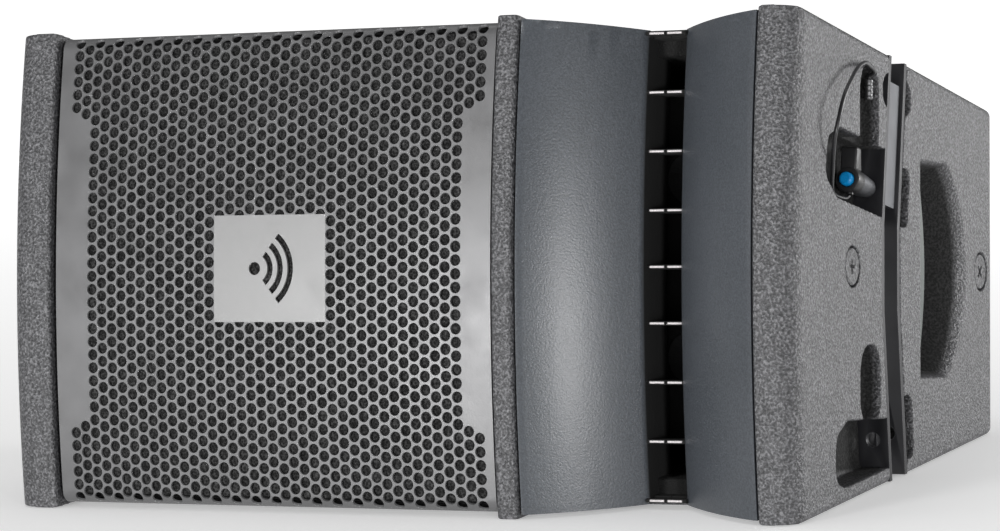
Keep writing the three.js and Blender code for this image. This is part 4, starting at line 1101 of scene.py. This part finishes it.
def guide_nut():
    start = side_place(PIN_DEPTH, BOLT_BELOW, CHANNEL_OUTER + GAP)
    return lathe([
        (3.3, 0.5), (3.1, 0), (4.3, 0), (4.6, 0.35), (4.6, 3.65), (4.3, 4), (3.3, 4), (3.0, 3.6),
    ], start, BACKWARD, 6)


def plug(y, turn):
    """A blanking plug with a domed rim and a cross-slot."""
    disc = lathe([
        (0, -5.3), (8.5, -5.3), (8.75, -5), (8.75, -0.9), (8.5, -0.45), (8, -0.3), (6.6, -0.3), (6.2, -0.5),
        (0, -0.5),
    ], (HALF, y, 0), (1, 0, 0), 64)
    blades = []
    for spin in (turn, turn + math.pi / 2):
        place = Matrix.Translation((0, y, 0)) @ Matrix.Rotation(spin, 4, "X")
        blades.append(moved(box(HALF - 2, HALF + 1, -0.8, 0.8, -3.6, 3.6), place))
    return bevelled(combine(disc, blades), 0.25, 2)


BAR_TOP, BAR_SHOULDER, BAR_PLATE_BOTTOM, BAR_HALF, BAR_SLOT = 12, 61, 71, 8.5, (14.6, 59.1)
BAR_FACE, BAR_BACK, BAR_SLOT_BACK, PLATE_FACE, PLATE_BACK = 4.2, 13.5, 11.6, 2, 4.4


def hinge_bar():
    """The sliding bar, slotted for the guide bolt and the pins, with the cover plate over its pin."""
    def block(top, bottom, half, outer, inner, radius):
        ends = [(top, -half), (top, half), (bottom, half), (bottom, -half)]
        return prism("x", with_radii([(on_upper(*end), radius) for end in ends]), HALF - inner, HALF - outer)
    bar = combine(
        block(BAR_TOP, BAR_SHOULDER, BAR_HALF, BAR_FACE, BAR_BACK, 1.5),
        [block(*BAR_SLOT, BAR_HALF + 1, BAR_FACE - 1.2, BAR_SLOT_BACK, 0)],
    )
    bar = combine(bar, [block(BAR_TOP, BAR_PLATE_BOTTOM, BAR_HALF, PLATE_FACE, PLATE_BACK, 2)], "UNION")
    return bevelled(bar, 0.55, 3)


FERRULE_DEPTH, FERRULE_Y, FERRULE_BOTTOM, FERRULE_TOP = 3, 95.5, 78.5, 88
LANYARD_RADIUS, LANYARD_EASE = 1, 0.03
LANYARD_ROUTE = [
    (204, 95.5, 88.5), (204.5, 95.5, 89.6), (207.3, 93.8, 91.2), (209.6, 81.2, 93.6), (211.2, 71.5, 94.1),
    (212.6, 60.1, 91.6), (213.5, 50.2, 86.5), (213.95, 38.3, 77.3), (213.5, 33, 67.9), (211.9, 31.8, 58.7),
    (209.7, 35.4, 51.2), (206.8, 41.8, 43.8), (203.6, 48.9, 37.2), (200.8, 57, 34.2), (199.2, 65, 32.8),
    (199, 73, 32), (199, 79, 32), (199, 82.2, 33),
]


def ferrule():
    """A crimped sleeve: three pinched bands and eased ends."""
    profile = [(0, 0), (1.5, 0), (1.9, 0.4)]
    for middle in (2.2, 4.7, 7.2):
        profile += [(2, middle - 1), (1.75, middle - 0.6), (1.75, middle + 0.6), (2, middle + 1)]
    top = FERRULE_TOP - FERRULE_BOTTOM
    profile += [(1.9, top - 0.4), (1.5, top), (0, top)]
    return lathe(profile, (HALF - FERRULE_DEPTH, FERRULE_Y, FERRULE_BOTTOM), (0, 0, 1), 32)


def mixed(first, second, knots, j, reach, t):
    """One step of the pyramid that draws a Catmull-Rom curve; the last one runs between the middle knots."""
    low, high = (knots[1], knots[2]) if reach == 3 else (knots[j], knots[j + reach])
    return first * ((high - t) / (high - low)) + second * ((t - low) / (high - low))


def catmull(points, count):
    """Points along the smooth curve through the given ones, about evenly spaced."""
    points = [Vector(p) for p in points]
    padded = [2 * points[0] - points[1], *points, 2 * points[-1] - points[-2]]
    fine = []
    for i in range(len(points) - 1):
        # Centripetal form, as the CAD's curve has.
        near = padded[i:i + 4]
        knots = [0.0]
        for a, b in zip(near, near[1:]):
            knots.append(knots[-1] + max((b - a).length ** 0.5, 1e-4))
        for k in range(24):
            t = knots[1] + (knots[2] - knots[1]) * k / 24
            level = near
            for reach in (1, 2, 3):
                level = [mixed(level[j], level[j + 1], knots, j, reach, t) for j in range(4 - reach)]
            fine.append(level[0])
    fine.append(points[-1])
    lengths = np.cumsum([0.0] + [(b - a).length for a, b in zip(fine, fine[1:])])
    wanted = np.linspace(0, lengths[-1], count + 1)
    spaced = [Vector([np.interp(w, lengths, [p[axis] for p in fine]) for axis in range(3)]) for w in wanted]
    return spaced, float(lengths[-1])


def tube(path, radius, sides):
    """A tube about a path, carried along it without twisting."""
    around = [path[0], *path, path[-1]]
    tangents = [(after - before).normalized() for before, after in zip(around, around[2:])]
    normal = tangents[0].orthogonal().normalized()
    rings = []
    for point, tangent in zip(path, tangents):
        normal = (normal - tangent * normal.dot(tangent)).normalized()
        aside = tangent.cross(normal)
        turns = [2 * math.pi * k / sides for k in range(sides)]
        rings.append([point + (normal * math.cos(turn) + aside * math.sin(turn)) * radius for turn in turns])
    return loft(rings)


def lanyard(side):
    sign = 1 if side == "right" else -1
    route = [(sign * x, y, z) for x, y, z in LANYARD_ROUTE]
    path, length = catmull(route, 150)
    name = f"lanyard_wire_{side}"
    made = piece(name, tube(path, LANYARD_RADIUS - LANYARD_EASE, 14), "wire", f"lanyard_{side}", body=None)
    world = [TO_WORLD @ point for point in path[::3]]
    if world[-1] != TO_WORLD @ path[-1]:
        world.append(TO_WORLD @ path[-1])
    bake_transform(made)


HANDS = {"right": lambda mesh: mesh, "left": mirror}
SCREWS = ((162.7, -35.9), (168.3, -80))

for side, hand in HANDS.items():
    head = moved(pin_head(PIN_COLLAR, PIN_HEAD, PADDLE_TOP), ON_SIDE)
    pin = moved(release_pin(PIN_TIP, PIN_COLLAR), ON_SIDE)
    button = moved(pin_button(PIN_COLLAR, PIN_HEAD), ON_SIDE)
    name = f"lock_button_{side}"
    piece(f"release_head_{side}", hand(head), "black_plastic", body=f"lock_pin_{side}")
    piece(f"release_pin_{side}", hand(pin), "satin_steel", f"lock_pin_{side}", f"lock_pin_{side}")
    piece(f"release_button_{side}", hand(button), "blue_plastic", name, name)
    name = f"lanyard_ferrule_{side}"
    piece(f"crimped_ferrule_{side}", hand(ferrule()), "bright_steel", name, finish="ferrule_steel")
    lanyard(side)

# ---------------------------------------------------------------- the rest of the cabinet
for side, wall in (("right", RIGHT_WALL), ("left", LEFT_WALL)):
    skin = HANDS[side](side_panel(wall))
    piece(f"side_skin_{side}", skin, "coating", f"side_panel_{side}", sharp=60, finish="pocket_shade_coating")
for name in ("top_panel", "bottom_panel", "rear_panel_left", "rear_panel_right", "divider_post"):
    finish = "inside_shade_coating" if name in ("top_panel", "bottom_panel") else "coating"
    piece(f"{name}_coated", eased(name, 0.9), "coating", name, sharp=50, finish=finish)
piece("baffle_board", eased("front_baffle", 0.6, 2), "black_plastic", "front_baffle")

piece("grille_sheet", grille(), "grille", "grille", sharp=40)
piece("grille_plate", badge_plate(), "badge", "grille_badge")
piece("foam_sheet", grille_foam(), "foam", "grille_foam", sharp=80)

for side, sign in (("left", -1), ("right", 1)):
    piece(f"horn_cheek_{side}", horn_shell(sign), "horn", f"horn_shell_{side}", sharp=35)
    piece(f"horn_fins_{side}", horn_fins(sign), "horn", sharp=50, finish="horn_edge")

for side, hand in HANDS.items():
    for node, slot, width in (("rigging_channel", "black_steel", 0.5), ("handle_grip", "grip", 1.2)):
        piece(f"{node}_{side}_finished", eased(f"{node}_{side}", width), slot, f"{node}_{side}")
    name = f"hinge_bar_{side}"
    bar = piece(f"{name}_finished", hand(hinge_bar()), "satin_steel", name, name)
    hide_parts(f"hinge_plate_{side}")
    screws = [channel_screw(y, z) for y, z in SCREWS]
    piece(f"channel_screws_{side}", hand(joined(*screws)), "black_steel", sharp=30)
    for node, mesh, slot, sharp in (
        ("guide_bolt", guide_bolt(), "bright_steel", 38), ("guide_nut", guide_nut(), "bright_steel", 30),
        ("plug_front", plug(PLUG_FRONT_Y, 0), "coating", 38),
        ("plug_rear", plug(PLUG_REAR_Y, math.pi / 4), "coating", 38),
    ):
        piece(f"{node}_{side}_finished", hand(mesh), slot, f"{node}_{side}", sharp=sharp)

# The back.
pin = moved(release_pin(REAR_TIP, REAR_COLLAR), ON_BACK)
head = moved(pin_head(REAR_COLLAR, REAR_HEAD, REAR_PADDLE_TOP), ON_BACK)
button = moved(pin_button(REAR_COLLAR, REAR_HEAD), ON_BACK)
piece("rear_release_pin", pin, "satin_steel", "rear_pin", "rear_pin")
piece("rear_release_head", head, "black_plastic", body="rear_pin")
piece("rear_release_button", button, "blue_plastic", "rear_pin_button", "rear_pin_button")
for node, slot, width, body in (
    ("rear_channel", "black_steel", 0.5, "cabinet"), ("splay_arm", "satin_steel", 0.7, "splay_arm"),
    ("splay_pivot", "bright_steel", 0.5, "cabinet"), ("rear_pin_cup", "black_plastic", 0.8, "cabinet"),
    ("input_plate", "black_steel", 0.6, "cabinet"), ("socket_left", "black_plastic", 0.5, "cabinet"),
    ("socket_right", "black_plastic", 0.5, "cabinet"), ("mode_switch", "black_plastic", 0.5, "mode_switch"),
):
    piece(f"{node}_finished", eased(node, width), slot, node, body)

# The parts inside keep their CAD shapes, under their own materials; the horn's throat plate gets near black
# as painted shade.
for node, slot in (
    ("horn_throat_plate", "black_plastic"), ("driver_upper", "ferrite"), ("driver_lower", "ferrite"),
    ("woofer_basket", "black_steel"), ("woofer_magnet", "ferrite"), ("woofer_cone", "paper"),
    ("woofer_dust_cap", "paper"), ("woofer_surround", "rubber"), ("woofer_spider", "spider_cloth"),
    ("woofer_voice_coil", "copper"), ("crossover_board", "board"), ("crossover_inductor", "copper"),
    ("crossover_capacitor", "spider_cloth"),
):
    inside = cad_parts[node]
    inside.data.materials.clear()
    inside.data.materials.append(MATERIALS["slot_shade_black" if node == "horn_throat_plate" else slot])


# ---------------------------------------------------------------- floor and light
# Half the floor's side and the glow's rise over its depth, in metres; each light's place, size and power.
FLOOR, FLOOR_GLOW, WORLD_STRENGTH, LIT_POINT = 40, (0.0, 2.0, 0.32, 0.9), 0.21, Vector((0, 0, 0.1))
LIGHTS = (
    ("side", (2.3, 2.1, 0.25), (1.0, 0.8), 60),
    ("front", (1.78, -1.95, 0.16), (0.3, 0.3), 28),
    ("face", (-0.55, -2.0, 0.22), (0.45, 0.4), 27),
    ("top", (-0.2, 0.2, 2.4), (1.6, 1.2), 12),
    ("left", (-2.0, -1.4, 0.9), (0.9, 0.9), 2),
)


def studio():
    corners = [(-FLOOR, -FLOOR), (FLOOR, -FLOOR), (FLOOR, FLOOR), (-FLOOR, FLOOR)]
    floor = linked(mesh_of([(*corner, -1e-4) for corner in corners], [(0, 1, 2, 3)]), "floor")
    r = Recipe("floor")
    r.colour(r.ramp(r.noise(3, 2), (0.3, 0.9), (0.7, 0.93)))
    r.set(Roughness=0.9, Emission_Color=(1, 1, 1, 1))
    parts = r.add("ShaderNodeSeparateXYZ", {"Vector": r.place})
    r.link(r.span(parts.outputs["Y"], *FLOOR_GLOW), r.shader.inputs["Emission Strength"])
    floor.data.materials.append(r.material)
    world = bpy.data.worlds.new("studio")
    world.use_nodes = True
    sky = world.node_tree.nodes["Background"].inputs
    sky["Color"].default_value, sky["Strength"].default_value = (1, 1, 1, 1), WORLD_STRENGTH
    bpy.context.scene.world = world
    for name, place, size, power in LIGHTS:
        light = bpy.data.lights.new(name, "AREA")
        light.shape, light.size, light.size_y, light.energy = "RECTANGLE", *size, power
        made = bpy.data.objects.new(name, light)
        made.location = place
        made.rotation_euler = (LIT_POINT - Vector(place)).to_track_quat("-Z", "Y").to_euler()
        bpy.context.scene.collection.objects.link(made)
    settings = bpy.context.scene.view_settings
    settings.view_transform, settings.look, settings.exposure = "Standard", "None", 0.0


studio()
